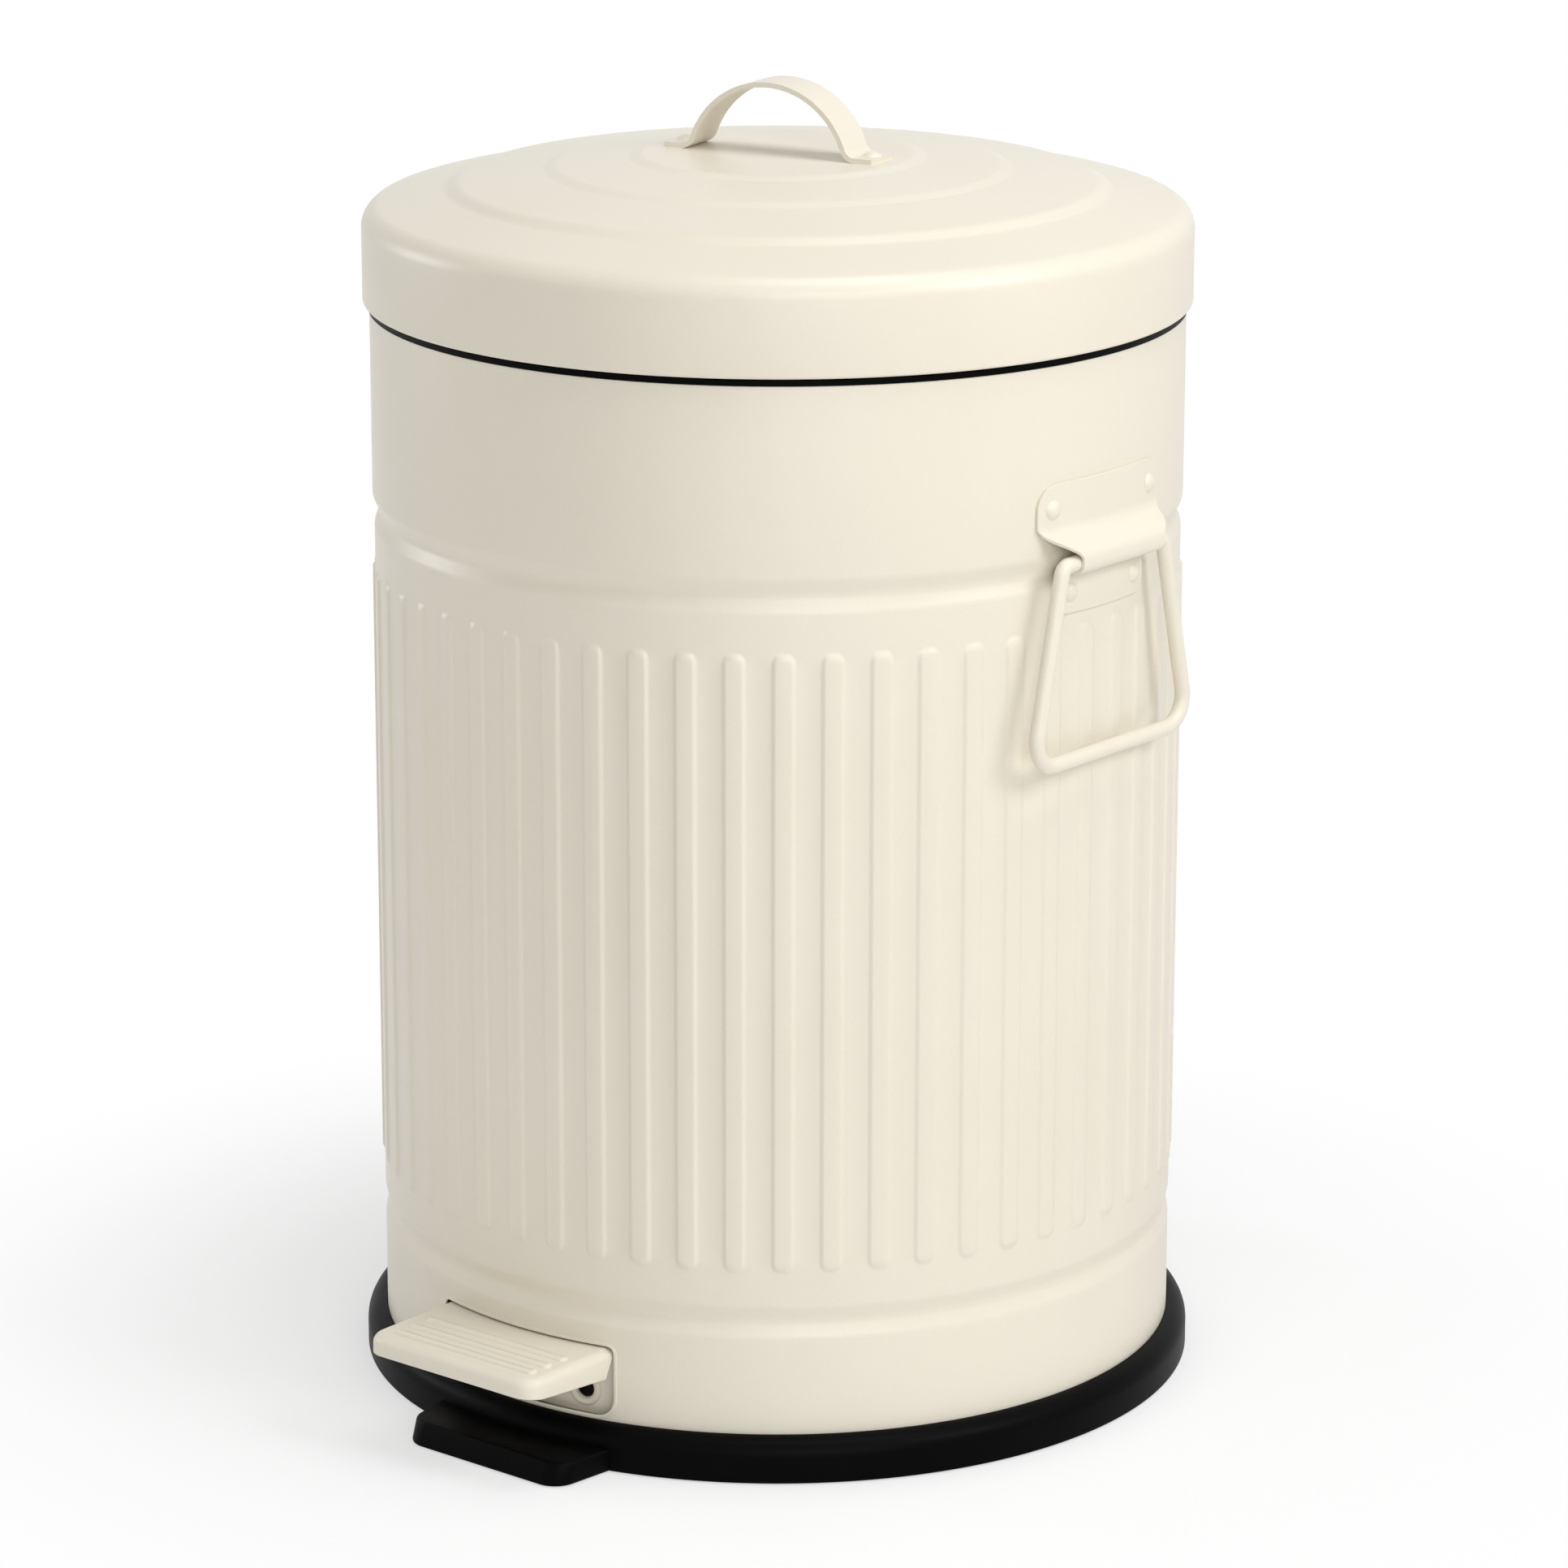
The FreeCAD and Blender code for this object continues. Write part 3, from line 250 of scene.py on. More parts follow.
# %% [markdown]
# ## Drawing a section and turning it
# Most of the bin is spun or rolled sheet, so most pieces start as half of their section. A plane is
# added and merged to a single vertex, the vertex is extruded from corner to corner, and a bevel of that
# one vertex rounds a corner. The bevel measures along the two sides, so a fillet of radius r at a corner
# that turns by the angle t takes an offset of r tan(t / 2). Everything is typed in millimetres.

# %% Helpers that draw a line of edges
import bmesh

same_mm = 1e-3            # places closer than this are the same corner
merge_mm = 0.002


def pick(test, kind="VERT"):
    """In edit mode, select only what the test accepts; it gets a place in millimetres and the item."""
    bpy.ops.mesh.select_mode(type=kind)
    bpy.ops.mesh.select_all(action="DESELECT")
    shape = bmesh.from_edit_mesh(bpy.context.object.data)
    items = {"VERT": shape.verts, "EDGE": shape.edges, "FACE": shape.faces}[kind]
    for item in items:
        if kind == "VERT":
            place = item.co / MM
        else:
            place = sum((v.co for v in item.verts), Vector()) / len(item.verts) / MM
        if test(place, item):
            item.select_set(True)
    bmesh.update_edit_mesh(bpy.context.object.data)


def begin(name, first):
    """Start a piece as one vertex, in edit mode."""
    bpy.ops.object.select_all(action="DESELECT")
    bpy.ops.mesh.primitive_plane_add(size=MM)
    piece = bpy.context.object
    piece.name = piece.data.name = name
    bpy.ops.object.mode_set(mode="EDIT")
    bpy.ops.mesh.select_mode(type="VERT")
    bpy.ops.mesh.select_all(action="SELECT")
    bpy.ops.mesh.merge(type="CENTER")
    bpy.ops.transform.translate(value=Vector(first) * MM)
    return piece


def draw(name, corners, closed=False, steps=6):
    """Draw a line through corners of place and fillet radius; the line stays selected in edit mode."""
    places = [Vector(place) for place, _ in corners]
    piece = begin(name, places[0])
    for before, after in zip(places, places[1:]):
        bpy.ops.mesh.extrude_region_move(TRANSFORM_OT_translate={"value": (after - before) * MM})
    if closed:
        pick(lambda at, _: min((at - places[0]).length, (at - places[-1]).length) < same_mm)
        bpy.ops.mesh.edge_face_add()
    count = len(corners)
    for number, (place, radius) in enumerate(corners):
        if radius <= 0 or (not closed and number in (0, count - 1)):
            continue
        came = (places[number] - places[number - 1]).normalized()
        goes = (places[(number + 1) % count] - places[number]).normalized()
        offset = radius * math.tan(came.angle(goes) / 2)
        pick(lambda at, _: (at - places[number]).length < same_mm)
        bpy.ops.mesh.bevel(affect="VERTICES", offset=offset * MM, segments=steps)
    bpy.ops.mesh.select_all(action="SELECT")
    return piece


def side(*corners):
    """Corners of a lathe's section, typed as radius, height and fillet."""
    return [((radius, 0, height), fillet) for radius, height, fillet in corners]


def pull(by):
    """Fill the outline that is selected and pull it into a slab, along a line in millimetres."""
    bpy.ops.mesh.edge_face_add()
    bpy.ops.mesh.extrude_region_move(TRANSFORM_OT_translate={"value": Vector(by) * MM})


# %% [markdown]
# ## Finishing a piece
# Every piece ends in the same way. Doubles are merged and the faces turned outwards, modifiers are
# applied, and its place goes into its mesh. Its shading is smoothed up to an angle, so that real edges
# stay sharp, it is told which part of the bin it moves with, and the solids of the model that it stands
# for are hidden.

# %% Helpers that finish a piece
def select_only(piece):
    """Make a piece the one that the next operator acts on."""
    bpy.ops.object.select_all(action="DESELECT")
    piece.select_set(True)
    bpy.context.view_layer.objects.active = piece


def outward():
    """In edit mode: merge doubles, turn all faces outwards and go back to object mode."""
    bpy.ops.mesh.select_all(action="SELECT")
    bpy.ops.mesh.remove_doubles(threshold=merge_mm * MM)
    bpy.ops.mesh.normals_make_consistent(inside=False)
    bpy.ops.object.mode_set(mode="OBJECT")


def apply(piece, kind, **settings):
    """Add a modifier with its settings and apply it."""
    made = piece.modifiers.new(kind.lower(), kind)
    for name, value in settings.items():
        setattr(made, name, value)
    select_only(piece)
    bpy.ops.object.modifier_apply(modifier=made.name)


def cut(piece, cutter):
    """Take the cutter's solid out of a piece."""
    apply(piece, "BOOLEAN", operation="DIFFERENCE", object=cutter, solver="EXACT")
    bpy.data.objects.remove(cutter)


def soften(piece, width, segments, angle):
    """Round all edges that are sharper than an angle in degrees."""
    apply(piece, "BEVEL", width=width * MM, segments=segments, limit_method="ANGLE",
          angle_limit=math.radians(angle))


def copy_of(piece, name):
    """Copy a piece, with a mesh of its own."""
    twin = piece.copy()
    twin.data = piece.data.copy()
    twin.name = twin.data.name = name
    bpy.context.scene.collection.objects.link(twin)
    return twin


def set_place():
    """Move place, turn and scale of the active object into its mesh."""
    bpy.ops.object.transform_apply(location=True, rotation=True, scale=True)


def finish_piece(piece, material, body, stands_for=(), angle=35):
    """Smooth the shading, paint the piece, say what it rides on, and hide the solids of the model that it
    stands for.
    """
    select_only(piece)
    set_place()
    bpy.ops.object.shade_smooth_by_angle(angle=math.radians(angle))
    piece.data.materials.clear()
    piece.data.materials.append(material)
    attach(piece, body)
    if stands_for:
        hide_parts(*stands_for)
    faces = sum(len(face.vertices) - 2 for face in piece.data.polygons)
    print(piece.name, faces, "triangles, size mm", [round(c / MM, 1) for c in piece.dimensions])


# %% [markdown]
# ## The ribbed body
# The body is rolled steel with two pressed grooves and 54 upright ribs with round ends. Spinning a smooth
# section and adding ribs as separate bars would leave hard seams, and a bump map would leave the outline
# smooth. So one slice of the body, a rib wide, is spun column by column, with its columns close together
# where the rib's side slopes. A vertex group then says how far each vertex stands on the rib, a Displace
# modifier pushes the rib out by 0.9 mm, and an Array turned about the axis repeats the slice 54 times.

# %% One slice of the body
rib_count = 54
rib_rise = 0.9
rib_half = 4.45            # half of the rib's foot
rib_slope = 1.9            # width of its sloping side
rib_low, rib_high = 75.7, 299.0
body_low, body_high = 4.0, 391
groove_mm = 142.7          # radius at the bottom of the grooves
low_groove, high_groove = 57.6, 318.4
band_mm = 145.6            # the band above the upper groove stands out a little
inner_mm, inner_band_mm = 144.1, 144.7

# rows of vertices, close together at the round ends of the rib
end_rows = [-0.3, 0.05, 0.4, 0.8, 1.2, 1.7, 2.4, 3.3, 4.4, 6.5]
rows = [rib_low + row for row in end_rows] + [rib_high - row for row in reversed(end_rows)]

# up the outside and down the inside: radius, height, fillet
body_side = [(body_mm, body_low, 0), (body_mm, 52, 5), (groove_mm, low_groove, 4), (body_mm, 63.2, 5)]
body_side += [(body_mm, row, 0) for row in rows]
body_side += [(body_mm, 312.8, 5), (groove_mm, high_groove, 4), (band_mm, 324, 5),
              (band_mm, body_high, 0.3), (inner_band_mm, body_high, 0.3), (inner_band_mm, 324.5, 0),
              (141.9, high_groove, 0), (inner_mm, 313, 0), (inner_mm, 63, 0), (141.8, low_groove, 0),
              (inner_mm, 52, 0), (inner_mm, body_low, 0.3)]
body = draw("ribbed_body", side(*body_side), closed=True)

# columns of vertices, as distances from the rib's middle, close together on its slope
pitch_mm = 2 * math.pi * body_mm / rib_count
columns = [pitch_mm / 2, rib_half, 4.0, 3.6, 3.2, 2.8, 2.4, 0]
gaps = [wide - narrow for wide, narrow in zip(columns, columns[1:])]
for gap in gaps + gaps[::-1]:
    bpy.ops.mesh.spin(steps=1, angle=gap / body_mm, center=(0, 0, 0), axis=(0, 0, 1))
outward()

# %% Raise the rib
angles = [math.atan2(v.co.y, v.co.x) for v in body.data.vertices]
middle_angle = (min(angles) + max(angles)) / 2
group = body.vertex_groups.new(name="rib")
outside_mm = 144.9         # what lies closer to the axis is the inner wall or a groove
for vertex, angle in zip(body.data.vertices, angles):
    if math.hypot(vertex.co.x, vertex.co.y) < outside_mm * MM:
        continue
    across_mm = (angle - middle_angle) * body_mm
    height = vertex.co.z / MM
    beyond = max(rib_low + rib_half - height, height - (rib_high - rib_half), 0)
    inside = min(max((rib_half - math.hypot(across_mm, beyond)) / rib_slope, 0), 1)
    group.add([vertex.index], inside * inside * (3 - 2 * inside), "REPLACE")
outer = max(body.data.polygons, key=lambda face: face.center.to_2d().length)
if outer.normal.to_2d().dot(outer.center.to_2d()) < 0:
    body.data.flip_normals()
apply(body, "DISPLACE", strength=rib_rise * MM, mid_level=0.0, vertex_group="rib")
print("slice:", len(body.data.vertices), "vertices")

# %% Repeat the slice round the axis
turner = bpy.data.objects.new("turner", None)
turner.rotation_euler.z = 2 * math.pi / rib_count
bpy.context.scene.collection.objects.link(turner)
bpy.context.view_layer.update()
apply(body, "ARRAY", count=rib_count, use_relative_offset=False, use_object_offset=True,
      offset_object=turner, use_merge_vertices=True, use_merge_vertices_cap=True,
      merge_threshold=0.01 * MM)
bpy.data.objects.remove(turner)


# %% [markdown]
# ### The opening for the pedal
# A window with round lower corners is cut through the front, and its edge is turned out into a thin
# lip. The cutter is the window's outline, drawn flat in front of the body and extruded back through
# the wall. The slot behind, where the lever reaches the rod, is cut the same way and stays out of sight.

# %% Cut the opening and the rear slot
opening_half = 40
opening_low, opening_high = 17.5, 44.3
corner_low, corner_high = 7, 3             # radii of the window's corners
cutter_far = 165                           # from the axis to the outline, clear of the wall


def window(name, half, low, high, corners, away):
    """Outline of a window in a plane in front of the axis, or behind it where away is negative."""
    lower, upper = corners
    return draw(name, [((-half, -away, low), lower), ((half, -away, low), lower),
                       ((half, -away, high), upper), ((-half, -away, high), upper)], closed=True)


def window_cutter(name, half, low, high, corners, away):
    """A window pulled through the wall, towards the axis."""
    cutter = window(name, half, low, high, corners, away)
    pull((0, math.copysign(60, away), 0))
    outward()
    return cutter


cut(body, window_cutter("opening", opening_half, opening_low, opening_high, (corner_low, corner_high),
                        cutter_far))
cut(body, window_cutter("slot", 10.5, opening_low, 47, (1, 1), -cutter_far))
finish_piece(body, cream, "bin", ["body_shell"], angle=50)

# %% [markdown]
# The lip is the same outline, a little larger. Its edges are divided so that it can follow the round
# wall, the outline is filled and inset, and the face inside is deleted. What is left is a flat frame,
# which is pulled out by half a millimetre and then laid on the body.

# %% The lip round the opening
lip_mm = 0.9               # width of the lip on the wall
lip_over = 0.2             # how far it reaches over the cut edge
lip_thick = 0.5
lip_sunk = 0.2             # how far its back reaches into the wall, so that no gap shows
rim = window("opening_lip", opening_half + lip_mm, opening_low - lip_mm, opening_high + lip_mm,
             (corner_low + lip_mm, corner_high + lip_mm), body_mm)
bpy.ops.mesh.subdivide(number_cuts=3)
pick(lambda at, item: item.calc_length() > 3 * MM, "EDGE")
bpy.ops.mesh.subdivide(number_cuts=5)
bpy.ops.mesh.select_all(action="SELECT")
bpy.ops.mesh.edge_face_add()
bpy.ops.mesh.inset(thickness=(lip_mm + lip_over) * MM)
bpy.ops.mesh.delete(type="FACE")
bpy.ops.mesh.select_all(action="SELECT")
bpy.ops.mesh.extrude_region_move(TRANSFORM_OT_translate={"value": (0, -lip_thick * MM, 0)})
outward()
for vertex in rim.data.vertices:
    radius = -vertex.co.y - lip_sunk * MM
    vertex.co.y = -math.sqrt(radius ** 2 - vertex.co.x ** 2)
soften(rim, 0.2, 3, 50)
finish_piece(rim, cream, "bin")


# %% [markdown]
# ## The lid
# The lid is spun steel with a deep skirt, a turned-in edge and three shallow steps that rise towards
# the middle. Its outside is drawn as one line from the hem to the centre and spun; a Solidify modifier
# then gives the sheet its thickness inwards, so the outside keeps the drawn size.

# %% The lid's outside, spun
lid_sheet = 0.9
lid_side = [(143.8, 393.6, 0), (148, 393.6, 1.3), (148, 426.8, 8), (118.2, 433.1, 6), (113.8, 435.8, 6),
            (83.4, 439.8, 6), (79.0, 441.3, 6), (52.9, 443.8, 6), (48.5, 445.1, 6), (20, 445.1, 0),
            (0, 445.1, 0)]
lid = draw("lid_dome", side(*lid_side), steps=8)
bpy.ops.mesh.spin(steps=288, angle=2 * math.pi, center=(0, 0, 0), axis=(0, 0, 1))
outward()
apply(lid, "SOLIDIFY", thickness=lid_sheet * MM, offset=-1.0)
finish_piece(lid, cream, "lid", ["lid_shell"], angle=60)


# %% [markdown]
# ## The side brackets
# Each bracket is one piece of pressed sheet. It lies on the upper band, swells out over the wire of the
# bail in a soft S, goes back under it and lies on the lower wall. No operator draws that surface, so a
# grid of the right number of rows is added and each vertex is placed: its row gives a point of the S and
# half of the width there, its column how far to the side it lies. Where the sheet lies on the body it is
# wrapped round it, and where it holds the wire it is straight. Solidify and Bevel make it real sheet.
# The S itself is drawn with the line helper, and its vertices are read in order from the top down.

# %% The line down the middle of the bracket
bracket_top, bracket_low = 350.0, 303.2
section = draw("section", side((146.8, bracket_top, 0), (146.8, 333.0, 5.5), (154.6, 326.6, 5),
                               (154.6, 318.6, 4.0), (146.2, 318.6, 1.6), (146.2, bracket_low, 0)), steps=10)
bpy.ops.object.mode_set(mode="OBJECT")
line = sorted((v.co / MM for v in section.data.vertices), key=lambda at: -at.z)
chain, rest = [line[0]], line[1:]
while rest:
    nearest = min(rest, key=lambda at: (at - chain[-1]).length)
    rest.remove(nearest)
    chain.append(nearest)
bpy.data.objects.remove(section)


def line_at(share):
    """Point of the bracket's middle line at a share of its length."""
    lengths = [(b - a).length for a, b in zip(chain, chain[1:])]
    want = share * sum(lengths)
    for a, b, length in zip(chain, chain[1:], lengths):
        if want <= length:
            return a.lerp(b, want / length)
        want -= length
    return chain[-1]


def smooth(value, low, high):
    """0 below low, 1 above high and a soft ramp between."""
    value = min(max((value - low) / (high - low), 0), 1)
    return value * value * (3 - 2 * value)


top_round, low_round = 9.0, 5.0            # radii of the corners at the upper and the lower end
clip_half = 23.5                           # half of the width where the sheet holds the wire
plate_more = 11.1                          # what the plate above it is wider, to each side
tongue_half = 24.5                         # half of the width below the wire


def rounded_off(radius, from_end):
    """What a round corner takes off the width, at a distance from the end."""
    if from_end >= radius:
        return 0
    return radius - math.sqrt(radius ** 2 - (radius - from_end) ** 2)


def half_width(at):
    """Half of the bracket's width at a point of its line."""
    if at.x > 146.4 or at.z > 325:
        half = clip_half + plate_more * smooth(at.z, 324.5, 335.5)
        return half - rounded_off(top_round, bracket_top - at.z)
    return tongue_half - rounded_off(low_round, at.z - bracket_low)


# %% Place the rows and columns
bracket_sheet = 1.2
total = sum((b - a).length for a, b in zip(chain, chain[1:]))
plain = total - top_round - low_round
down = [top_round * (1 - math.cos(math.radians(step * 11.25))) for step in range(9)]
down += [top_round + plain * step / 70 for step in range(1, 70)]
down += [total - low_round * (1 - math.cos(math.radians(90 - step * 15))) for step in range(7)]
bpy.ops.object.select_all(action="DESELECT")
bpy.ops.mesh.primitive_grid_add(x_subdivisions=40, y_subdivisions=len(down) - 1, size=2)
bracket = bpy.context.object
bracket.name = bracket.data.name = "bracket_right"
for vertex in bracket.data.vertices:
    row = round((1 - vertex.co.y) / 2 * (len(down) - 1))
    at = line_at(down[row] / total)
    sideways = vertex.co.x * half_width(at)
    lying = 1 - smooth(at.x, 147.0, 152.5)         # 1 on the body, 0 where the sheet stands out
    fall = at.x - math.sqrt(at.x ** 2 - sideways ** 2)
    vertex.co = Vector((at.x - fall * lying, sideways, at.z)) * MM
bpy.ops.object.mode_set(mode="EDIT")
bpy.ops.mesh.select_all(action="SELECT")
bpy.ops.mesh.normals_make_consistent(inside=False)
bpy.ops.object.mode_set(mode="OBJECT")
if bracket.data.polygons[0].normal.x < 0:
    bracket.data.flip_normals()
apply(bracket, "SOLIDIFY", thickness=bracket_sheet * MM, offset=-1.0)
soften(bracket, 0.35, 3, 60)

bracket_left = copy_of(bracket, "bracket_left")
bracket_left.rotation_euler.z = math.pi
finish_piece(bracket, cream, "bin", ["handle_bracket_right"], angle=40)
finish_piece(bracket_left, cream, "bin", ["handle_bracket_left"], angle=40)


# %% [markdown]
# ## The pedal
# The tread is pressed sheet with a turned-down edge, deep beside the body and shallow in front, with
# round front corners and three broad ridges for grip. It starts as a box: the upright front edges are
# bevelled by the corner's radius, then the top edges, and the bottom and back faces are deleted so that
# a sheet is left. The lower edge is tilted, Solidify gives the thickness, and the ends of the sides are
# cut to the round of the body.

# %% Tread
pedal_sheet = 1.2
tread_middle = Vector((0, -154.75, 37.5))
tread_halves = (39, 28.75, 6)              # half of its width, length and height
tread_front = tread_middle.y - tread_halves[1]
tread_rear = tread_middle.y + tread_halves[1]
tread_top = tread_middle.z + tread_halves[2]
bpy.ops.object.select_all(action="DESELECT")
bpy.ops.mesh.primitive_cube_add(size=2 * MM, location=tread_middle * MM, scale=tread_halves)
tread = bpy.context.object
tread.name = tread.data.name = "pedal_tread"
set_place()
bpy.ops.object.mode_set(mode="EDIT")
pick(lambda at, item: abs(at.z - tread_middle.z) < 0.1 and at.y < tread_front + 0.5, "EDGE")
bpy.ops.mesh.bevel(offset=8 * MM, segments=10)
pick(lambda at, item: abs(at.z - tread_top) < 0.01 and at.y < tread_rear - 0.5, "EDGE")
bpy.ops.mesh.bevel(offset=3.6 * MM, segments=8)
pick(lambda at, item: item.normal.z < -0.9 or item.normal.y > 0.9, "FACE")
bpy.ops.mesh.delete(type="FACE")
bpy.ops.object.mode_set(mode="OBJECT")

# %% Tilt the lower edge, thicken the sheet and make room for the body
edge_rise = 5                              # how much shallower the tread is in front
rise_from, rise_over = -145, 38.5          # where the rise starts, and its length
for vertex in tread.data.vertices:
    if vertex.co.z < 32 * MM:
        vertex.co.z += edge_rise * MM * min(max((rise_from * MM - vertex.co.y) / (rise_over * MM), 0), 1)
apply(tread, "SOLIDIFY", thickness=pedal_sheet * MM, offset=-1.0)
soften(tread, 0.3, 3, 60)
bpy.ops.object.select_all(action="DESELECT")
bpy.ops.mesh.primitive_cone_add(vertices=180, radius1=150 * MM, radius2=143.6 * MM, depth=12.8 * MM,
                                location=(0, 0, 35.9 * MM))
body_room = bpy.context.object
set_place()
cut(tread, body_room)
finish_piece(tread, cream, "pedal", ["pedal_plate"], angle=45)

# %% [markdown]
# ### The ridges on the tread
# Each ridge is a bar with half-round ends, pressed up so that it is domed. It is drawn as an outline in
# the tread's skin and pulled up, and a wide bevel of the upper edge makes the dome. An inset would do
# the same with more steps. One ridge is modelled, and the other two are copies set further back.

# %% Three ridges, one modelled and two copied
ridge_left, ridge_right = -31.5, 34.5
ridge_front, ridge_rear = -177.2, -172.0
ridge_foot = 42.5                          # a millimetre inside the tread's sheet
ridge_end = 2.55                           # radius of the half-round ends
ridge = draw("tread_ridge_1", [((ridge_left, ridge_front, ridge_foot), ridge_end),
                               ((ridge_right, ridge_front, ridge_foot), ridge_end),
                               ((ridge_right, ridge_rear, ridge_foot), ridge_end),
                               ((ridge_left, ridge_rear, ridge_foot), ridge_end)], closed=True)
pull((0, 0, 2.1))
pick(lambda at, item: at.z > ridge_foot + 2, "EDGE")
bpy.ops.mesh.bevel(offset=1.7 * MM, segments=6)
outward()
ridges = [ridge]
for number, shift in ((2, 7.7), (3, 16.2)):
    ridges.append(copy_of(ridge, "tread_ridge_" + str(number)))
    ridges[-1].location.y = shift * MM
for twin in ridges:
    finish_piece(twin, cream, "pedal", angle=60)

# %% [markdown]
# ### The apron inside the opening
# A curved skirt hangs from the tread inside the opening and closes it. It has a rolled hole on each
# side, of which one shows under the tread's corner. The skirt is a line spun through the opening's width.
# A spin by a positive angle goes clockwise here, seen from above, so this one has a negative angle. The
# lever's window and the two holes are cut out, and a torus makes the rolled edge of each hole.

# %% Apron
apron_mm = 140.0                           # radius of its outside
apron_half = 38.0
apron_low, apron_high = 15.9, 42.6
apron_angle = math.asin(apron_half / apron_mm)
apron_y = -apron_mm * math.cos(apron_angle)
apron = draw("pedal_apron", [((-apron_half, apron_y, apron_low), 0),
                             ((-apron_half, apron_y, apron_high), 0)])
bpy.ops.mesh.subdivide(number_cuts=3)
bpy.ops.mesh.select_all(action="SELECT")
bpy.ops.mesh.spin(steps=24, angle=-2 * apron_angle, center=(0, 0, 0), axis=(0, 0, 1))
outward()
if apron.data.polygons[0].normal.y > 0:
    apron.data.flip_normals()
apply(apron, "SOLIDIFY", thickness=pedal_sheet * MM, offset=-1.0)
cut(apron, window_cutter("lever_room", 9.2, 33.3, 42.0, (0.5, 0.5), cutter_far))

# %% Its two rolled holes
hole_side, hole_high = 24.7, 25.0          # from the middle line, and above the floor
hole_mm = 4.6                              # radius of the hole
seat_mm = 139.4                            # radius of the middle of the sheet
for way in (-1, 1):
    bearing = math.asin(hole_side / seat_mm) * way
    seat = Vector((seat_mm * math.sin(bearing), -seat_mm * math.cos(bearing), hole_high)) * MM
    bpy.ops.object.select_all(action="DESELECT")
    bpy.ops.mesh.primitive_cylinder_add(vertices=40, radius=hole_mm * MM, depth=8 * MM, location=seat,
                                        rotation=(math.pi / 2, 0, bearing))
    hole = bpy.context.object
    set_place()
    cut(apron, hole)
    bpy.ops.object.select_all(action="DESELECT")
    bpy.ops.mesh.primitive_torus_add(major_radius=5.2 * MM, minor_radius=1.6 * MM, major_segments=40,
                                     minor_segments=16, location=seat, rotation=(math.pi / 2, 0, bearing))
    roll_lip = bpy.context.object
    roll_lip.name = roll_lip.data.name = "apron_lip_" + ("right" if way > 0 else "left")
    finish_piece(roll_lip, cream, "pedal")
finish_piece(apron, cream, "pedal", angle=40)


# %% [markdown]
# ## The black base
# The bin stands on a moulded ring with a round shoulder, and a flat tab reaches forward under the
# pedal, a little more to the right than to the left, as on the pictured bin. The ring is turned. The tab
# is an outline with round front corners pulled up into a slab; its upper front edge is drawn back for
# draft, what would lie inside the ring is cut away, and its edges are rounded.

# %% Base ring
base_mm, base_inner_mm = 152.4, 142.3      # radii outside and inside
base_low, base_high = 0.4, 16.3
base = draw("base_moulding", side((base_inner_mm, base_low, 0.6), (base_mm, base_low, 0.8),
                                  (base_mm, base_high, 7.0), (145.1, base_high, 0.3), (145.1, 4.2, 0),
                                  (144.0, 4.2, 0), (144.0, 12.3, 0.5), (base_inner_mm, 12.3, 0.5)),
            closed=True, steps=8)
bpy.ops.mesh.spin(steps=240, angle=2 * math.pi, center=(0, 0, 0), axis=(0, 0, 1))
outward()
finish_piece(base, black, "bin", ["base_ring"], angle=50)

# %% Toe tab
tab_front, tab_root = -171.6, -137
tab_thick = 8.3
draft_mm = 3.4                             # how far the upper front edge is drawn back
draft_from, draft_over = -150, 22          # where the draft starts, and its length
tab = draw("toe_tab", [((-37.0, tab_root, base_low), 0), ((-31.5, tab_front, base_low), 9),
                       ((40.5, tab_front, base_low), 9), ((44.3, tab_root, base_low), 0)],
           closed=True, steps=10)
pull((0, 0, tab_thick))
outward()
for vertex in tab.data.vertices:
    if vertex.co.z > 5 * MM:
        vertex.co.y += draft_mm * MM * min(max((draft_from * MM - vertex.co.y) / (draft_over * MM), 0), 1)
soften(tab, 1.1, 4, 50)
bpy.ops.object.select_all(action="DESELECT")
bpy.ops.mesh.primitive_cylinder_add(vertices=180, radius=146.5 * MM, depth=40 * MM)
cut(tab, bpy.context.object)
finish_piece(tab, black, "bin", angle=40)


# %% [markdown]
# ## Floor and light
# The picture is a studio shot on white. The floor is a matt white plane that fades to pure white away
# from the bin, for the camera and in reflections, so that the soft contact shadow stays and no horizon
# shows. Under the bin it stays plain, because a glow there would shine through the pedal's opening.
# Four softboxes light the bin: one to the right of the camera, one in front, one above and a weak one
# to the left and behind. The white room fills the shadows.

# %% Floor
fade_from, fade_to = 0.15, 0.4             # from the axis, where the white starts and where it is full
fade_least = 0.55                          # share of the white beside the bin
bpy.ops.object.select_all(action="DESELECT")
bpy.ops.mesh.primitive_plane_add(size=40)
floor = bpy.context.object
floor.name = "floor"
floor_paint, floor_tree, floor_place = new_material("white_studio_floor")
near = node(floor_tree, "ShaderNodeVectorMath", {0: floor_place}, operation="LENGTH")
fade = node(floor_tree, "ShaderNodeMapRange", {"Value": near.outputs["Value"], "From Min": fade_from,
                                               "From Max": fade_to, "To Min": fade_least},
            interpolation_type="SMOOTHSTEP")
path = node(floor_tree, "ShaderNodeLightPath")
seen = node(floor_tree, "ShaderNodeMath", {0: path.outputs["Is Camera Ray"],
                                           1: path.outputs["Is Glossy Ray"]}, operation="MAXIMUM")
under = node(floor_tree, "ShaderNodeMapRange", {"Value": near.outputs["Value"], "From Min": 0.146,
                                                "From Max": 0.151})
bare = node(floor_tree, "ShaderNodeMath", {0: fade.outputs["Result"], 1: under.outputs["Result"]},
            operation="MULTIPLY")
amount = node(floor_tree, "ShaderNodeMath", {0: bare.outputs["Value"], 1: seen.outputs["Value"]},
              operation="MULTIPLY")
matt = node(floor_tree, "ShaderNodeBsdfPrincipled", {"Base Color": linear("f6f6f7"), "Roughness": 0.9})
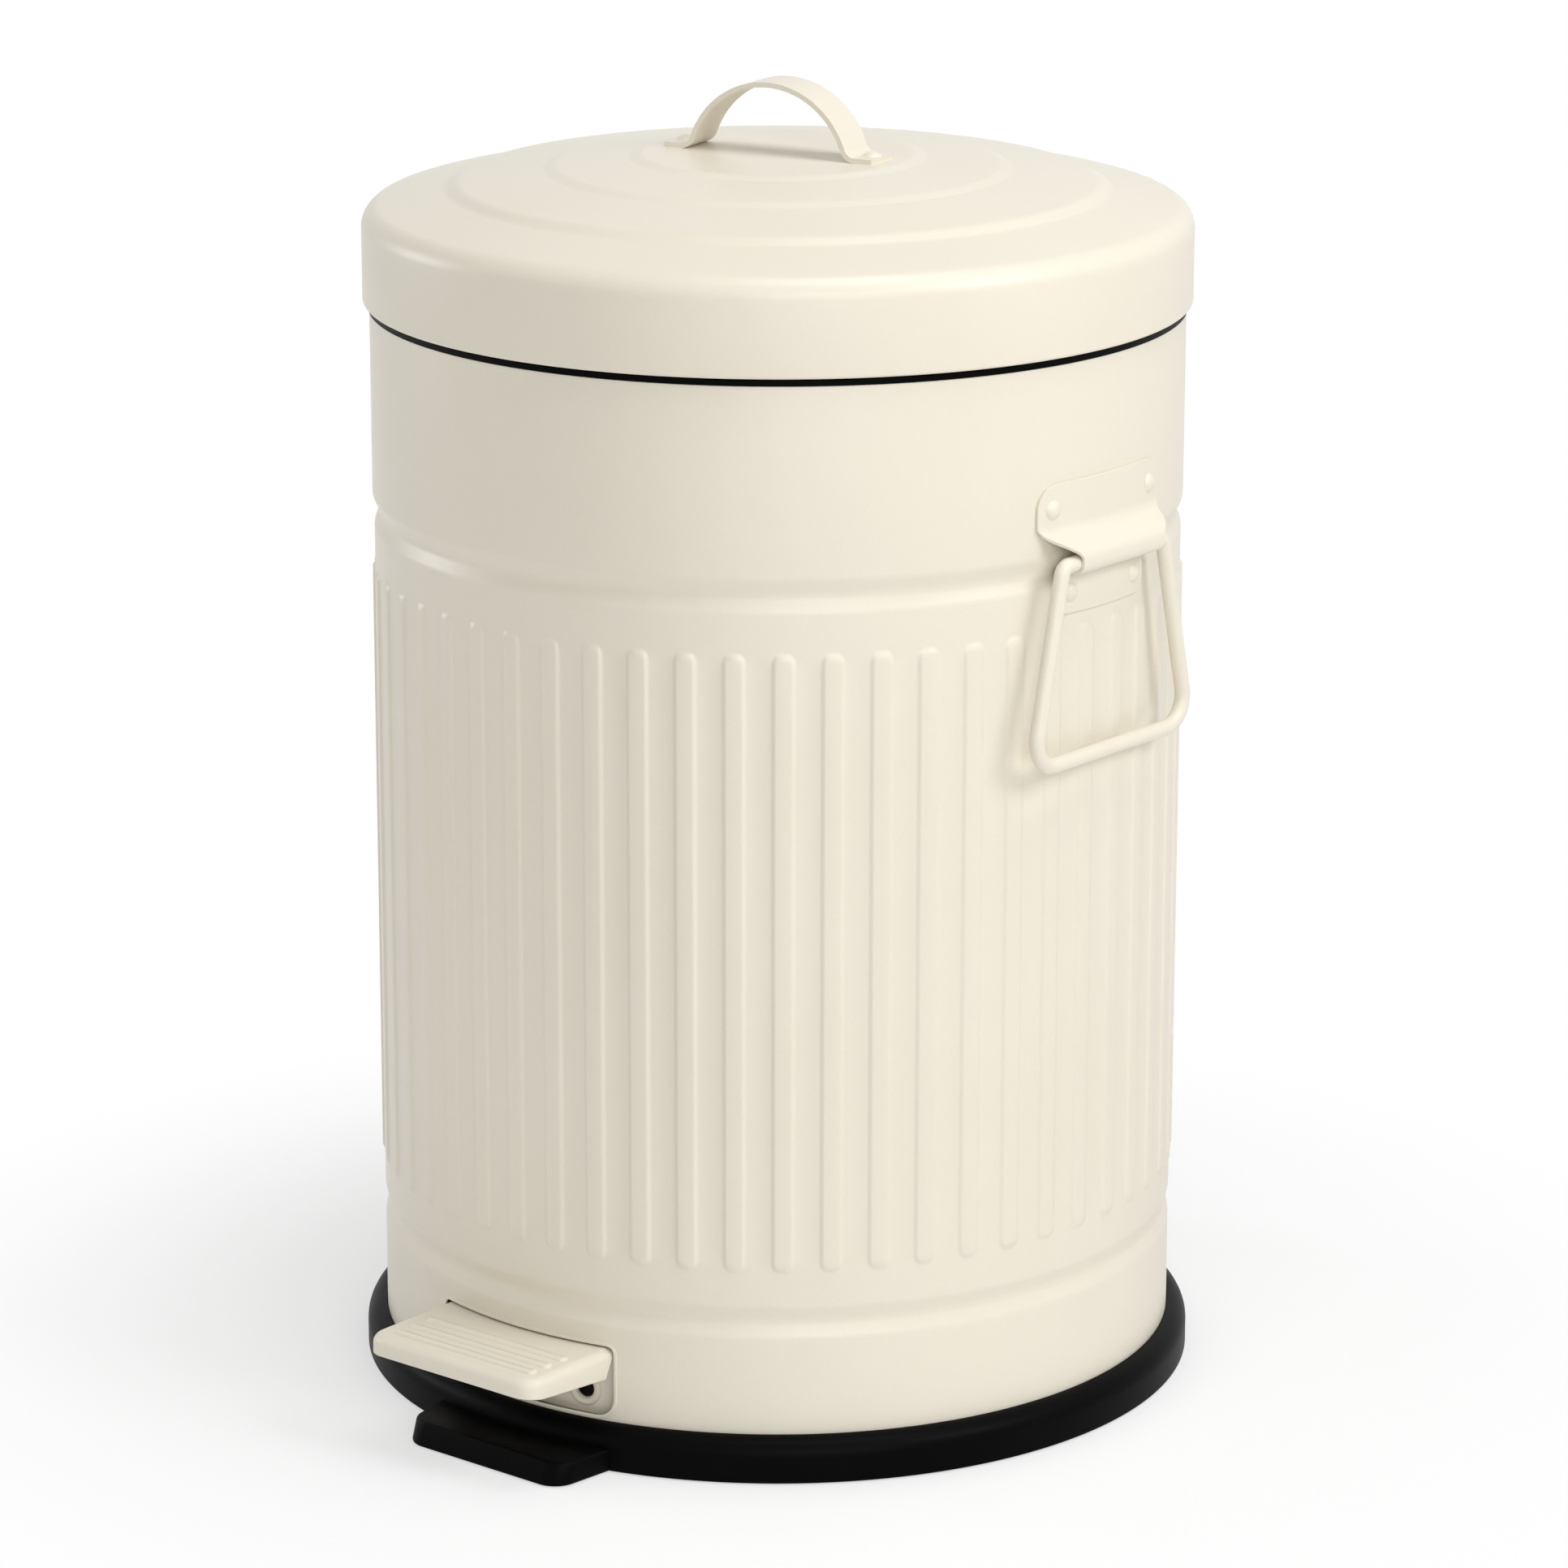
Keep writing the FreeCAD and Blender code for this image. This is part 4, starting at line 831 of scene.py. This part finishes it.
glow = node(floor_tree, "ShaderNodeEmission", {"Color": (1, 1, 1, 1), "Strength": 1.0})
sheet_of = node(floor_tree, "ShaderNodeMixShader", {0: amount.outputs["Value"], 1: matt.outputs[0],
                                                    2: glow.outputs[0]})
finish_material(floor_tree, sheet_of)
floor.data.materials.append(floor_paint)

# %% Room light and softboxes
world = bpy.data.worlds.new("white_room")
bpy.context.scene.world = world
world.use_nodes = True
room = world.node_tree
room.nodes.clear()
room_path = node(room, "ShaderNodeLightPath")
room_seen = node(room, "ShaderNodeMath", {0: room_path.outputs["Is Camera Ray"],
                                          1: room_path.outputs["Is Glossy Ray"]}, operation="MAXIMUM")
room_light = node(room, "ShaderNodeBackground", {"Color": (1, 1, 1, 1), "Strength": 0.34})
room_white = node(room, "ShaderNodeBackground", {"Color": (1, 1, 1, 1), "Strength": 1.0})
room_mix = node(room, "ShaderNodeMixShader", {0: room_seen.outputs["Value"], 1: room_light.outputs[0],
                                              2: room_white.outputs[0]})
node(room, "ShaderNodeOutputWorld", {"Surface": room_mix.outputs[0]})

camera_side = turn @ Vector((1, 0, 0))
camera_front = turn @ Vector((0, -1, 0))


bin_middle = Vector((0, 0, 0.22))
up = Vector((0, 0, 1))


def softbox(name, way, far, size, power):
    """Square lamp at a distance in metres from the middle of the bin, looking at it."""
    lamp = bpy.data.lights.new(name, "AREA")
    lamp.size = size
    lamp.energy = power
    holder = bpy.data.objects.new(name, lamp)
    way = way.normalized()
    holder.location = bin_middle + way * far
    holder.rotation_euler = (-way).to_track_quat("-Z", "Y").to_euler()
    bpy.context.scene.collection.objects.link(holder)


softbox("softbox_right", camera_side * 0.9 + camera_front * 0.55 + up * 0.75, 1.8, 0.6, 9.8)
softbox("softbox_front", camera_front + camera_side * 0.2 + up * 0.35, 2.0, 1.0, 11)
softbox("softbox_left", camera_side * -1.0 + camera_front * -0.35 + up * 0.25, 1.6, 0.5, 5)
softbox("softbox_top", camera_front * 0.15 + camera_side * 0.2 + up, 1.7, 0.8, 10)

# %% [markdown]
# ## The end
# Colours are shown without a film curve, so that a paint comes out about as its hex value.

# %% Colours without a film curve
bpy.context.scene.view_settings.view_transform = "Standard"
